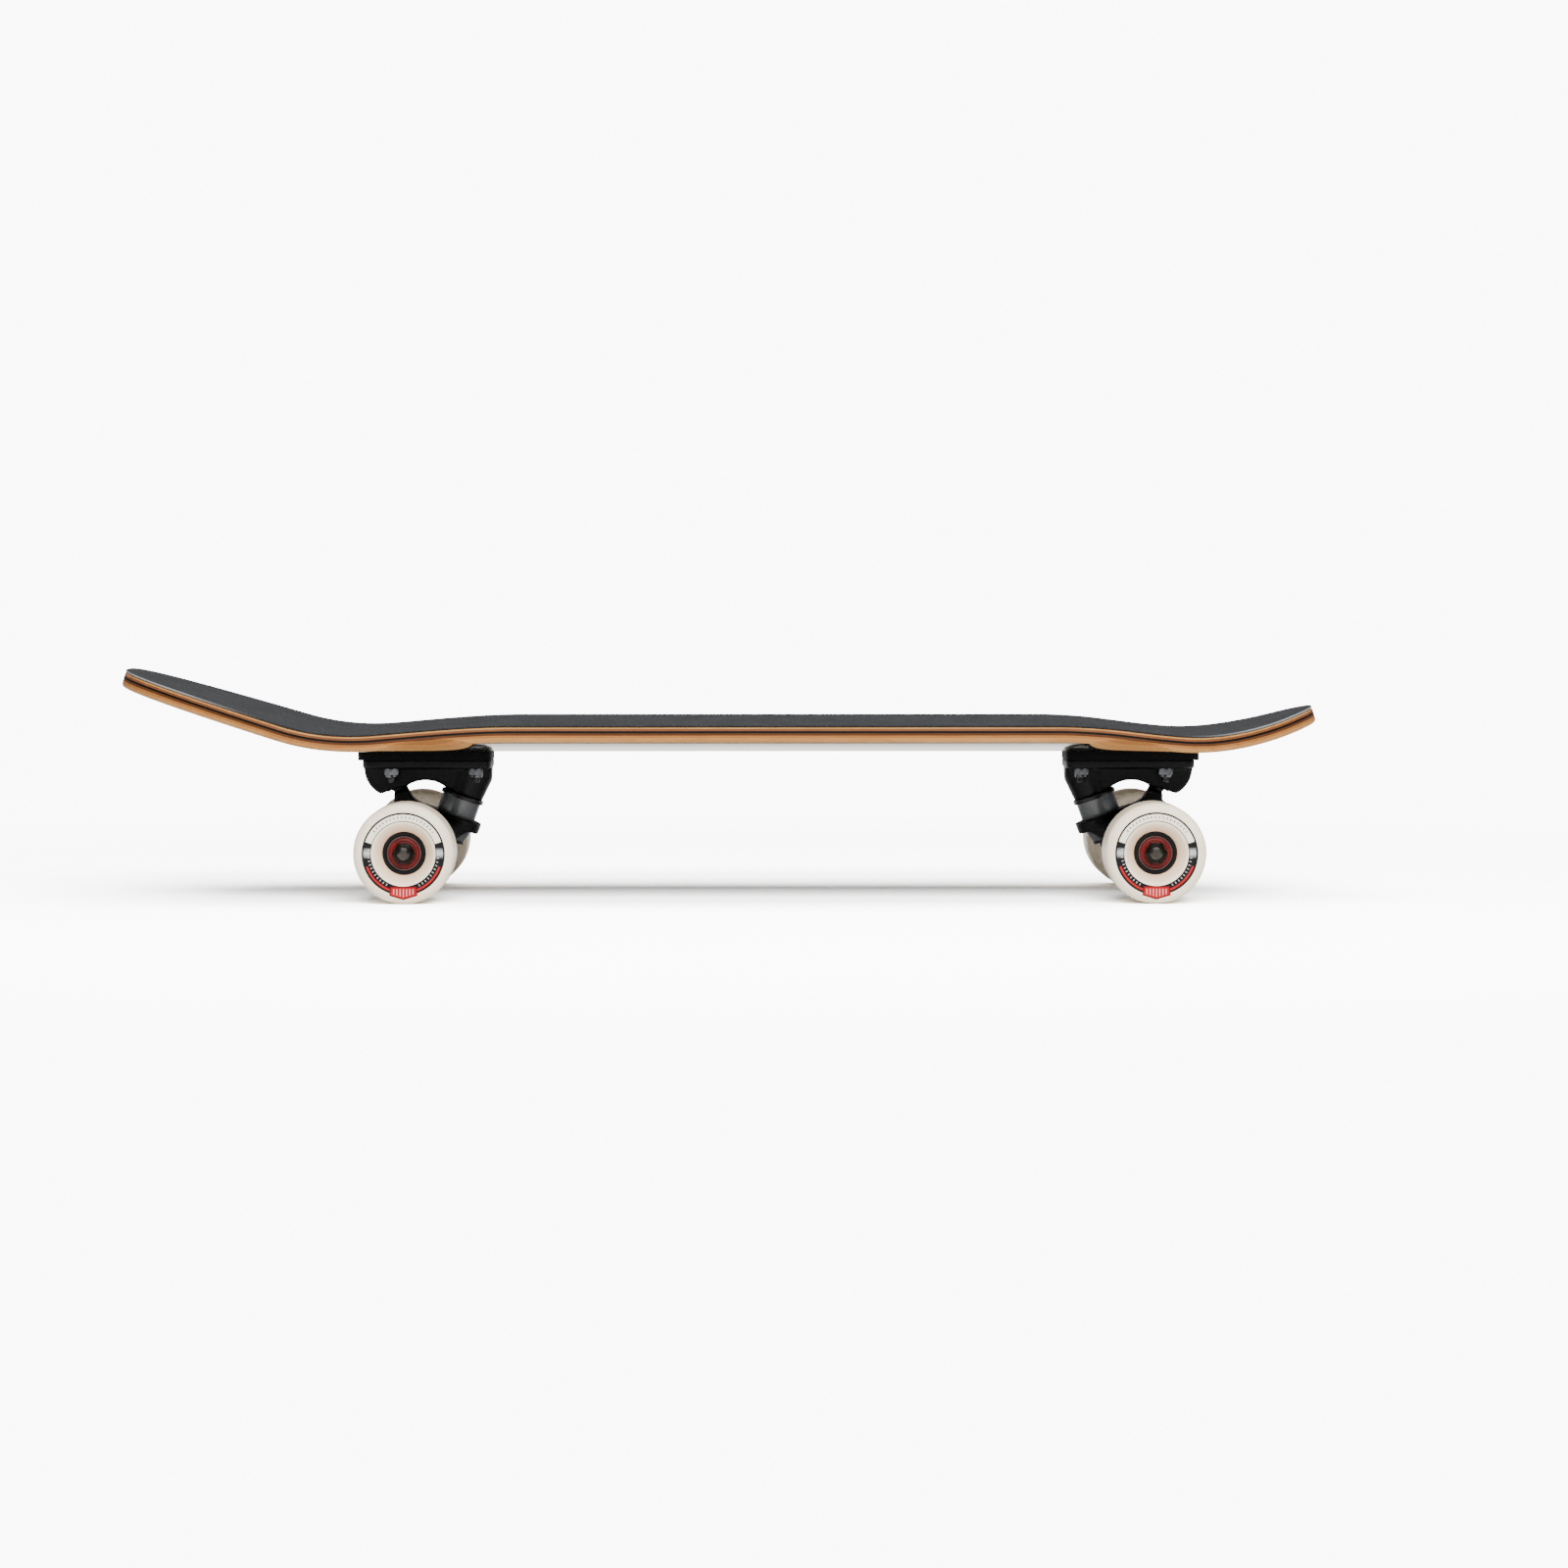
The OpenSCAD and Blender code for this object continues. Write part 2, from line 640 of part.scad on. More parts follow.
module hanger() {
    color("#1e1e1e") difference() {
        union() {
            translate([0, 0, axle_z]) rotate([90, 0, 0])
                cylinder(h = 2 * beam_flat, r = beam_radius, center = true);
            for (side = [-1, 1])
                translate([0, side * beam_flat, axle_z]) rotate([-90 * side, 0, 0])
                    cylinder(h = hanger_width / 2 - beam_flat, r1 = beam_radius, r2 = beam_end_radius);
            hull() {
                on_kingpin(yoke_t + web_inset)
                    cylinder(h = web_thickness, d = yoke_diameter - web_inset, $fn = HULL_FN);
                translate([0, 0, axle_z]) rotate([90, 0, 0])
                    cylinder(h = 2 * wing_half_span, r = wing_radius, center = true, $fn = HULL_FN);
            }
            on_kingpin(yoke_t) cylinder(h = yoke_thickness, d = yoke_diameter);
            side_plate(neck_outline(), neck_width);
            on_steering() {
                translate([0, 0, -pivot_root]) cylinder(h = pivot_root, d = pivot_diameter);
                cylinder(h = pivot_tip, r1 = pivot_diameter / 2, r2 = pivot_tip_radius);
            }
        }
        on_kingpin(yoke_t - yoke_clear_up)
            cylinder(h = yoke_clear_up + yoke_recess, d = bushing_diameter + PLAY * 2);
        on_kingpin(yoke_t - CUT) cylinder(h = yoke_thickness + 2 * CUT, r = yoke_bore_radius);
        on_kingpin(bottom_bushing_t) cylinder(h = yoke_seat_depth, d = bushing_diameter + PLAY * 2);
        on_kingpin(yoke_end_t) cylinder(h = yoke_clear_down, r = yoke_skirt_radius);
        translate([0, 0, axle_z]) rotate([90, 0, 0])
            cylinder(h = hanger_width + 2 * CUT, d = axle_diameter, center = true);
    }
}

module axle() {
    color("silver") translate([0, 0, axle_z]) rotate([90, 0, 0])
        cylinder(h = 2 * (wheel_y + axle_end), d = axle_diameter, center = true);
}

module axle_nuts(end) {
    color("gray") both_wheels_of(end)
        hex_nut(washer_outer, axle_nut_height, axle_nut_flats, axle_diameter / 2);
}

module speed_washers(end) {
    color("silver") both_wheels_of(end)
        for (z = [-washer_outer, bearing_outer])
            tube(z, z + speed_washer_thickness, speed_washer_radius, axle_diameter / 2 + MM_GAP);
}

module bearing_spacers(end) {
    color("silver") both_wheels_of(end)
        tube(-bearing_inner, bearing_inner, spacer_radius, axle_diameter / 2 + MM_GAP);
}

module inner_races(end) {
    color("silver") both_wheels_of(end) each_bearing() rotate_extrude() difference() {
        translate([bearing_id / 2, -bearing_width / 2])
            square([inner_race_radius - bearing_id / 2, bearing_width]);
        translate([ball_pitch_radius, 0]) circle(ball_radius + MM_GAP);
    }
}

// ---------- wheel ----------

module each_bearing() {
    for (side = [-1, 1])
        translate([0, 0, side * (bearing_inner + bearing_width / 2)]) children();
}

module tyre() {
    flat = wheel_diameter / 2 - lip_radius;
    half = wheel_width / 2;
    color("#ece3d3") rotate_extrude(angle = 360, $fn = 128)
        polygon(concat(
            [[core_diameter / 2, -core_half]],
            [[dish_radius, -half]],
            arc([flat, -half + lip_radius], lip_radius, -90, 0, 8),
            arc([flat, half - lip_radius], lip_radius, 0, 90, 8),
            [[dish_radius, half]],
            [[core_diameter / 2, core_half]]
        ));
}

module core() {
    color("#181818") rotate_extrude() polygon([
        [core_ledge_radius, -bearing_inner],
        [bearing_od / 2, -bearing_inner],
        [bearing_od / 2, -core_half],
        [core_diameter / 2, -core_half],
        [core_diameter / 2, core_half],
        [bearing_od / 2, core_half],
        [bearing_od / 2, bearing_inner],
        [core_ledge_radius, bearing_inner]
    ]);
}

module outer_races() {
    color("silver") each_bearing() rotate_extrude() difference() {
        translate([outer_race_radius, -bearing_width / 2])
            square([bearing_od / 2 - outer_race_radius, bearing_width]);
        translate([ball_pitch_radius, 0]) circle(ball_radius + MM_GAP);
        for (face = [-1, 1])
            translate([0, face * (bearing_width / 2) - shield_recess - shield_thickness])
                square([shield_seat_radius, 2 * (shield_recess + shield_thickness)]);
    }
}

module shields() {
    inner = inner_race_radius + shield_gap;
    color("#8c2622") each_bearing() {
        tube(bearing_width / 2 - shield_recess - shield_thickness, bearing_width / 2 - shield_recess,
             shield_seat_radius, inner);
        tube(-bearing_width / 2 + shield_recess, -bearing_width / 2 + shield_recess + shield_thickness,
             shield_seat_radius, inner);
    }
}

// Balls strung on their cage ring
module ball_sets() {
    color("silver") each_bearing() {
        tube(-cage_size / 2, cage_size / 2, ball_pitch_radius + cage_size / 2,
             ball_pitch_radius - cage_size / 2);
        for (k = [0 : ball_count - 1])
            rotate([0, 0, 360 * k / ball_count]) translate([ball_pitch_radius, 0, 0])
                sphere(r = ball_radius);
    }
}

// ---------- nodes ----------

deck();
grip_tape();

at_truck("front") riser_pad();  // front_riser_pad
at_truck("front") baseplate();  // front_baseplate
at_truck("front") truck_bolts();  // front_truck_bolts
at_truck("front") truck_nuts();  // front_truck_nuts
at_truck("front") kingpin();  // front_kingpin
at_truck("front") kingpin_nut();  // front_kingpin_nut
at_truck("front") pivot_cup();  // front_pivot_cup
at_truck("front") top_washer();  // front_top_washer
at_truck("front") top_bushing();  // front_top_bushing
at_truck("front") bottom_bushing();  // front_bottom_bushing
at_truck("front") bottom_washer();  // front_bottom_washer
at_truck("front") hanger();  // front_hanger
at_truck("front") axle();  // front_axle
axle_nuts("front");  // front_axle_nuts
speed_washers("front");  // front_speed_washers
bearing_spacers("front");  // front_bearing_spacers
inner_races("front");  // front_inner_races

at_truck("rear") riser_pad();  // rear_riser_pad
at_truck("rear") baseplate();  // rear_baseplate
at_truck("rear") truck_bolts();  // rear_truck_bolts
at_truck("rear") truck_nuts();  // rear_truck_nuts
at_truck("rear") kingpin();  // rear_kingpin
at_truck("rear") kingpin_nut();  // rear_kingpin_nut
at_truck("rear") pivot_cup();  // rear_pivot_cup
at_truck("rear") top_washer();  // rear_top_washer
at_truck("rear") top_bushing();  // rear_top_bushing
at_truck("rear") bottom_bushing();  // rear_bottom_bushing
at_truck("rear") bottom_washer();  // rear_bottom_washer
at_truck("rear") hanger();  // rear_hanger
at_truck("rear") axle();  // rear_axle
axle_nuts("rear");  // rear_axle_nuts
speed_washers("rear");  // rear_speed_washers
bearing_spacers("rear");  // rear_bearing_spacers
inner_races("rear");  // rear_inner_races

at_wheel("front", 1) tyre();  // front_left_tyre
at_wheel("front", 1) core();  // front_left_core
at_wheel("front", 1) outer_races();  // front_left_outer_races
at_wheel("front", 1) shields();  // front_left_shields
at_wheel("front", 1) ball_sets();  // front_left_ball_sets
at_wheel("front", -1) tyre();  // front_right_tyre
at_wheel("front", -1) core();  // front_right_core
at_wheel("front", -1) outer_races();  // front_right_outer_races
at_wheel("front", -1) shields();  // front_right_shields
at_wheel("front", -1) ball_sets();  // front_right_ball_sets
at_wheel("rear", 1) tyre();  // rear_left_tyre
at_wheel("rear", 1) core();  // rear_left_core
at_wheel("rear", 1) outer_races();  // rear_left_outer_races
at_wheel("rear", 1) shields();  // rear_left_shields
at_wheel("rear", 1) ball_sets();  // rear_left_ball_sets
at_wheel("rear", -1) tyre();  // rear_right_tyre
at_wheel("rear", -1) core();  // rear_right_core
at_wheel("rear", -1) outer_races();  // rear_right_outer_races
at_wheel("rear", -1) shields();  // rear_right_shields
at_wheel("rear", -1) ball_sets();  // rear_right_ball_sets
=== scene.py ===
"""Cruiser skateboard: bent maple deck with grip tape, two kingpin trucks, four wheels on ball bearings.

Sizes are in millimetres and become metres when a piece is handed to the scene. +X points to the nose, +Z up.
"""

import json
import logging
import math
from collections.abc import Callable, Sequence
from dataclasses import dataclass
from enum import Enum

import bmesh
import bpy
from mathutils import Matrix, Vector


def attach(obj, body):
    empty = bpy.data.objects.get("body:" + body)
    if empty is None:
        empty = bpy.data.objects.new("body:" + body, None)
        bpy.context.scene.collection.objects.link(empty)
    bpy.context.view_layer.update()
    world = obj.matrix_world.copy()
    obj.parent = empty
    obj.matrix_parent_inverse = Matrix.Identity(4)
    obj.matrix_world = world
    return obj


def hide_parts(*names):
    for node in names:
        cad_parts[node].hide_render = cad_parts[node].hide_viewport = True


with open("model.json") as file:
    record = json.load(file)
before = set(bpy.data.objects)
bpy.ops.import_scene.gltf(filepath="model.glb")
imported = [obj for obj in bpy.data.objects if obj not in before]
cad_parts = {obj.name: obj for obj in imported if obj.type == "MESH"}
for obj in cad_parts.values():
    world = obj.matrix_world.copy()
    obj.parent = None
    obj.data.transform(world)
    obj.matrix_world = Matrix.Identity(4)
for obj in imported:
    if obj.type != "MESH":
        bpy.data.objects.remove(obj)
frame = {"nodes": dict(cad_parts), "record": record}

logging.basicConfig(level=logging.INFO, format="%(message)s")
LOG = logging.getLogger("skateboard")

MM = 0.001
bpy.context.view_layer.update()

Profile = Sequence[tuple[float, float]]
Colour = tuple[float, float, float, float]
# what a shader socket takes: an output to link, or a constant
Feed = bpy.types.NodeSocket | float | Sequence[float]

# how far a cutter passes the face that it cuts
OVERRUN = 2.0
# pitch of the fine threads on the kingpin and the axle
FINE_PITCH = 1.06


# ---------------------------------------------------------------- sizes


@dataclass(frozen=True)
class DeckSizes:
    """Sizes of the deck, in mm."""

    length: float = 762.0
    width: float = 229.0
    plies: int = 7
    ply: float = 1.4
    bottom: float = 92.9
    edge_round: float = 2.0
    # grip tape, worn pale on its cut edge towards the tips
    grip: float = 1.0
    grip_inset: float = 1.6
    grip_round: float = 0.4
    wear_from: float = 280.0
    wear_run: float = 80.0
    # bends of the tail and the nose
    tail_bend: float = -213.4
    tail_radius: float = 216.5
    tail_angle: float = math.radians(17.0)
    nose_bend: float = 288.76
    nose_radius: float = 237.0
    nose_angle: float = math.radians(17.6)
    # outline from above: length and fullness of the curve at each end, and half the straight at the tip
    tail_round: float = 131.0
    tail_fullness: float = 2.9
    nose_round: float = 141.0
    nose_fullness: float = 2.0
    bluntness: float = 1.5
    tip: float = 5.0
    # concave: its rise at the rim and its flat floor; at the tail it starts this far past the bend and
    # grows over this length, and at the nose it fades from this far before the bend over this length
    concave: float = 8.3
    flat_width: float = 64.0
    concave_tail: float = 57.0
    concave_tail_fade: float = 140.0
    concave_nose: float = 79.0
    concave_nose_fade: float = 115.0
    # wheel wells, each cut by the side of a long leaning cylinder
    well_radius: float = 100.0
    well_depth: float = 4.2
    well_tilt: float = math.radians(12.7)
    well_inboard: float = 21.0
    well_reach: float = 62.0
    well_overrun: float = 10.0
    well_rings: int = 18
    # mesh: stations round the rim, and the cuts across and along that let the sheet bend
    stations: int = 170
    cuts_across: tuple[int, int] = (378, 4)
    cuts_along: tuple[int, int] = (108, 6)

    @property
    def thickness(self) -> float:
        """All plies together."""
        return self.plies * self.ply

    @property
    def middle(self) -> float:
        """Height of the middle of the plies."""
        return self.bottom + self.thickness / 2

    @property
    def grip_top(self) -> float:
        """Height of the top of the grip tape."""
        return self.bottom + self.thickness + self.grip


@dataclass(frozen=True)
class TruckSizes:
    """Sizes of one truck, in mm, with x running outwards from the axle."""

    axle_z: float = 31.5
    axle: float = 7.94
    plate_top: float = 86.55
    plate: float = 5.25
    # truck bolts with their cross recess (length, width, height of the cutter) and locking nuts
    bolts_x: float = 14.2
    bolt_spacing: tuple[float, float] = (53.98, 41.28)
    bolt: float = 4.8
    bolt_head: float = 9.2
    bolt_length: float = 31.5
    bolt_gap: float = 0.15
    recess: tuple[float, float, float] = (4.6, 0.9, 3.0)
    nut: float = 8.73
    nut_height: float = 5.9
    nut_collar: float = 1.6
    # kingpin; its line starts near the middle of the upper bushing, and the seat is on that line
    kingpin_origin: tuple[float, float] = (-29.0, 56.0)
    kingpin_tilt: float = math.radians(20.0)
    kingpin: float = 9.52
    kingpin_gap: float = 0.15
    kingpin_above: float = 14.7
    kingpin_below: float = 10.0
    kingpin_thread: float = 16.0
    kingpin_head: float = 5.4
    kingpin_nut: float = 14.29
    kingpin_nut_height: float = 6.2
    kingpin_nut_collar: float = 1.8
    seat_t: float = -8.6
    # bushings, washers and the yoke ring between the bushings
    bushing: float = 25.2
    top_bushing: float = 14.0
    bottom_bushing: float = 9.3
    cone: float = 21.2
    cup: float = 28.0
    washer: float = 1.3
    washer_overhang: float = 0.6
    yoke: float = 7.3
    yoke_recess: float = 1.2

    def kingpin_at(self, t: float) -> Vector:
        """Place on the kingpin line.

        Args:
            t: Distance down the kingpin from its origin, near the middle of the upper bushing, in mm.

        Returns:
            The point in truck coordinates.
        """
        x, z = self.kingpin_origin
        return Vector((x + math.sin(self.kingpin_tilt) * t, 0, z - math.cos(self.kingpin_tilt) * t))

    def on_kingpin(self, t: float) -> Matrix:
        """Matrix whose local +Z runs down the kingpin from t."""
        return Matrix.Translation(self.kingpin_at(t)) @ Matrix.Rotation(math.pi - self.kingpin_tilt, 4, "Y")


@dataclass(frozen=True)
class WheelSizes:
    """Sizes of one wheel and its bearings, in mm, measured from its middle outwards."""

    radius: float = 31.5
    half: float = 21.5
    lip: float = 5.5
    core: float = 13.55
    core_half: float = 12.45
    core_ledge: float = 9.4
    bearing: float = 11.0
    bearing_half: float = 3.5
    bearing_middle: float = 8.65
    nut: float = 12.7
    nut_in: float = 13.15
    nut_out: float = 19.15
    nut_collar: float = 1.5
    axle_end: float = 21.15
    y: float = 87.65


@dataclass(frozen=True)
class PrintSizes:
    """Print on a wheel's outer face: radii in mm as (inner, outer), and angles in degrees."""

    # the print shows beyond this distance from the wheel's middle
    face: float = 15.0
    band: tuple[float, float] = (20.4, 25.3)
    outer_line: tuple[float, float] = (24.75, 25.85)
    inner_line: tuple[float, float] = (20.1, 20.65)
    soft: float = 0.06
    soft_angle: float = 0.3
    # the pale upper half of the band, and the ticks on it
    upper: tuple[float, float] = (18.0, 162.0)
    upper_ticks: tuple[float, float] = (36.0, 144.0)
    upper_tick: tuple[float, float] = (22.2, 23.6)
    # the dark lower half, with silver between these heights, ticks and a red arc
    silver: tuple[float, float] = (-1.4, 2.6)
    silver_fade: float = 1.5
    lower_ticks: tuple[tuple[float, float], ...] = ((-66.0, 8.0), (-181.0, -114.0), (172.0, 181.0))
    lower_tick: tuple[float, float] = (21.0, 22.3)
    red_arcs: tuple[tuple[float, float], ...] = ((-100.0, -19.0), (-161.0, -80.0))
    red: tuple[float, float] = (23.2, 24.5)
    tick_spacing: float = 3.1
    tick_width: float = 0.85
    # the badge: flat top, leaning sides, point at the bottom
    badge_top: float = 20.1
    badge_half: float = 8.2
    badge_lean: float = 0.11
    badge_point: float = 28.6
    badge_slope: float = 0.3
    badge_border: float = 0.75
    badge_margin: float = 1.7
    bar: float = 0.33


DECK = DeckSizes()
TRUCK = TruckSizes()
WHEEL = WheelSizes()
PRINT = PrintSizes()


class End(Enum):
    """The two trucks, with the x of their axles."""

    FRONT = 271.57
    REAR = -197.21

    @property
    def label(self) -> str:
        """Its name as the CAD nodes have it."""
        return self.name.lower()

    @property
    def matrix(self) -> Matrix:
        """Truck coordinates to the frame, x outwards from the axle."""
        turn = 0.0 if self is End.FRONT else math.pi
        return Matrix.Translation((self.value, 0, 0)) @ Matrix.Rotation(turn, 4, "Z")


class Side(Enum):
    """The two ends of an axle, as the sign of y."""

    LEFT = 1
    RIGHT = -1

    @property
    def label(self) -> str:
        """Its name as the CAD nodes have it."""
        return self.name.lower()


def wheel_matrix(end: End, side: Side) -> Matrix:
    """Wheel coordinates to the frame: local +Z points away from the board and local +Y up.

    Args:
        end: Which truck.
        side: Which end of its axle.

    Returns:
        The placing matrix, in mm.
    """
    turned = Matrix.Rotation(math.radians(-90 * side.value), 4, "X")
    upright = Matrix.Rotation(math.pi if side is Side.LEFT else 0.0, 4, "Z")
    return Matrix.Translation((end.value, side.value * WHEEL.y, TRUCK.axle_z)) @ turned @ upright


# ---------------------------------------------------------------- meshes


class Sculpt:
    """One mesh being built from bmesh operators, in mm."""

    def __init__(self) -> None:
        """Starts with nothing."""
        self.bm = bmesh.new()

    def lathe(self, profile: Profile, steps: int = 64, closed: bool = False) -> "Sculpt":
        """Spins an outline of (radius, height) once round local Z.

        Args:
            profile: The outline; points on the axis close the shape.
            steps: Segments round the axis.
            closed: Joins the last point to the first.

        Returns:
            This sculpt.
        """
        verts = [self.bm.verts.new((r, 0, z)) for r, z in profile]
        pairs = list(zip(verts, verts[1:]))
        if closed:
            pairs.append((verts[-1], verts[0]))
        edges = [self.bm.edges.new(pair) for pair in pairs]
        bmesh.ops.spin(
            self.bm, geom=verts + edges, cent=(0, 0, 0), axis=(0, 0, 1), angle=math.tau, steps=steps,
            use_merge=True,
        )
        bmesh.ops.remove_doubles(self.bm, verts=self.bm.verts[:], dist=1e-4)
        bmesh.ops.recalc_face_normals(self.bm, faces=self.bm.faces[:])
        return self

    def box(self, size: Sequence[float], centre: Sequence[float]) -> "Sculpt":
        """Adds a block.

        Args:
            size: Its three sides.
            centre: Its middle.

        Returns:
            This sculpt.
        """
        matrix = Matrix.Translation(centre) @ Matrix.Diagonal((*size, 1))
        bmesh.ops.create_cube(self.bm, size=1.0, matrix=matrix)
        return self

    def place(self, matrix: Matrix) -> "Sculpt":
        """Moves everything by a matrix."""
        bmesh.ops.transform(self.bm, matrix=matrix, verts=self.bm.verts[:])
        return self

    def add(self, other: "Sculpt") -> "Sculpt":
        """Takes over the mesh of another sculpt.

        Args:
            other: The other sculpt, which ends there.

        Returns:
            This sculpt.
        """
        mesh = other.mesh("joined", scale=1.0)
        self.bm.from_mesh(mesh)
        bpy.data.meshes.remove(mesh)
        return self

    def mirrored(self, axis: str) -> "Sculpt":
        """Adds the mirror image across the plane through the origin.

        Args:
            axis: The axis that the plane is square to.

        Returns:
            This sculpt.
        """
        geom = self.bm.verts[:] + self.bm.edges[:] + self.bm.faces[:]
        bmesh.ops.mirror(self.bm, geom=geom, axis=axis, merge_dist=1e-4)
        bmesh.ops.recalc_face_normals(self.bm, faces=self.bm.faces[:])
        return self

    def mesh(self, name: str, scale: float = MM) -> bpy.types.Mesh:
        """Ends the sculpt as a mesh.

        Args:
            name: Name of the mesh.
            scale: Its units to those of the mesh; by default mm to metres.

        Returns:
            The mesh.
        """
        bmesh.ops.scale(self.bm, vec=(scale,) * 3, verts=self.bm.verts[:])
        made = bpy.data.meshes.new(name)
        self.bm.to_mesh(made)
        self.bm.free()
        return made


def hexagon(
    flats: float, low: float, high: float, bore: float, chamfer: float = 0.55, collar: float = 0.0
) -> Sculpt:
    """A hexagon nut with turned corners, along local Z.

    Args:
        flats: Width across the flats.
        low: Where it starts.
        high: Where its hexagon ends.
        bore: Radius of its hole.
        chamfer: How far down the corners are turned.
        collar: Height of the round locking collar above the hexagon.

    Returns:
        The sculpt.
    """
    corner, flat = flats / math.sqrt(3), flats / 2
    steps = [0.0, 0.12, 0.3, 0.6, 1.0]
    outer = [(corner, low + chamfer * s) for s in steps]
    outer += [(corner, high - chamfer * s) for s in reversed(steps)]
    top = [(flat * 0.97, high)]
    if collar:
        top += [(flat * 0.93, high + 0.25), (flat * 0.9, high + collar * 0.7), (flat * 0.8, high + collar)]
    rim = high + collar
    profile = [(bore, low), (flat * 0.97, low), *outer, *top, (bore + 0.35, rim), (bore, rim - 0.3)]
    made = Sculpt().lathe(profile, steps=72, closed=True)
    for v in made.bm.verts:
        r = math.hypot(v.co.x, v.co.y)
        if r < flat or not low - 1e-6 <= v.co.z <= high + 1e-6:
            continue
        angle = math.atan2(v.co.y, v.co.x)
        to_flat = flat / math.cos((angle + math.pi / 6) % (math.pi / 3) - math.pi / 6)
        depth = min(v.co.z - low, high - v.co.z)
        turned = flat * 0.985 + (corner - flat * 0.985) * depth / chamfer
        share = min(to_flat, max(turned, flat * 0.985)) / r
        v.co.x, v.co.y = v.co.x * share, v.co.y * share
    return made


def thread(radius: float, low: float, high: float, pitch: float = 0.8) -> list[tuple[float, float]]:
    """Outline of a threaded length.

    Args:
        radius: Radius over the crests.
        low: Where it starts.
        high: Where it ends.
        pitch: Rough distance between crests, evened out over the length.

    Returns:
        Its points from low to high.
    """
    turns = max(1, int((high - low) / pitch))
    step = (high - low) / turns
    points: list[tuple[float, float]] = []
    for k in range(turns):
        points += [(radius, low + k * step), (radius, low + (k + 0.2) * step)]
        points.append((radius - pitch * 0.5, low + (k + 0.6) * step))
    return [*points, (radius, high)]


def copy_of_node(name: str) -> bpy.types.Mesh:
    """Copies a CAD node's mesh, merged and with its flat faces whole again.

    Args:
        name: The node.

    Returns:
        The copy.
    """
    bm = bmesh.new()
    bm.from_mesh(frame["nodes"][name].data)
    bmesh.ops.remove_doubles(bm, verts=bm.verts[:], dist=1e-6)
    bmesh.ops.dissolve_limit(bm, angle_limit=math.radians(1.0), verts=bm.verts[:], edges=bm.edges[:])
    made = bpy.data.meshes.new(name + "_copy")
    bm.to_mesh(made)
    bm.free()
    return made


def baked(obj: bpy.types.Object, name: str) -> bpy.types.Mesh:
    """Applies an object's modifiers.

    Args:
        obj: The object, which is removed.
        name: Name of the new mesh.

    Returns:
        The finished mesh.
    """
    bpy.context.view_layer.update()
    graph = bpy.context.evaluated_depsgraph_get()
    made = bpy.data.meshes.new_from_object(obj.evaluated_get(graph))
    made.name = name
    old = obj.data
    bpy.data.objects.remove(obj)
    bpy.data.meshes.remove(old)
    return made


def scratch(mesh: bpy.types.Mesh) -> bpy.types.Object:
    """Puts a mesh in the scene for the time of an operation.

    Args:
        mesh: The mesh.

    Returns:
        An object that holds it.
    """
    obj = bpy.data.objects.new("scratch", mesh)
    bpy.context.scene.collection.objects.link(obj)
    return obj


def carved(mesh: bpy.types.Mesh, cutter: bpy.types.Mesh) -> bpy.types.Mesh:
    """Cuts one mesh out of another.

    Args:
        mesh: The mesh to cut, which is used up.
        cutter: The cutter, which is used up.

    Returns:
        What is left.
    """
    body, knife = scratch(mesh), scratch(cutter)
    cut = body.modifiers.new("cut", "BOOLEAN")
    cut.operation, cut.solver, cut.object = "DIFFERENCE", "EXACT", knife
    made = baked(body, mesh.name)
    bpy.data.objects.remove(knife)
    bpy.data.meshes.remove(cutter)
    return made


# ---------------------------------------------------------------- materials


def linear(code: str) -> Colour:
    """Turns an sRGB hex colour into linear RGBA.

    Args:
        code: Six hex digits.

    Returns:
        The colour.
    """
    parts = [int(code[i : i + 2], 16) / 255 for i in (0, 2, 4)]
    r, g, b = (p / 12.92 if p <= 0.04045 else ((p + 0.055) / 1.055) ** 2.4 for p in parts)
    return (r, g, b, 1.0)


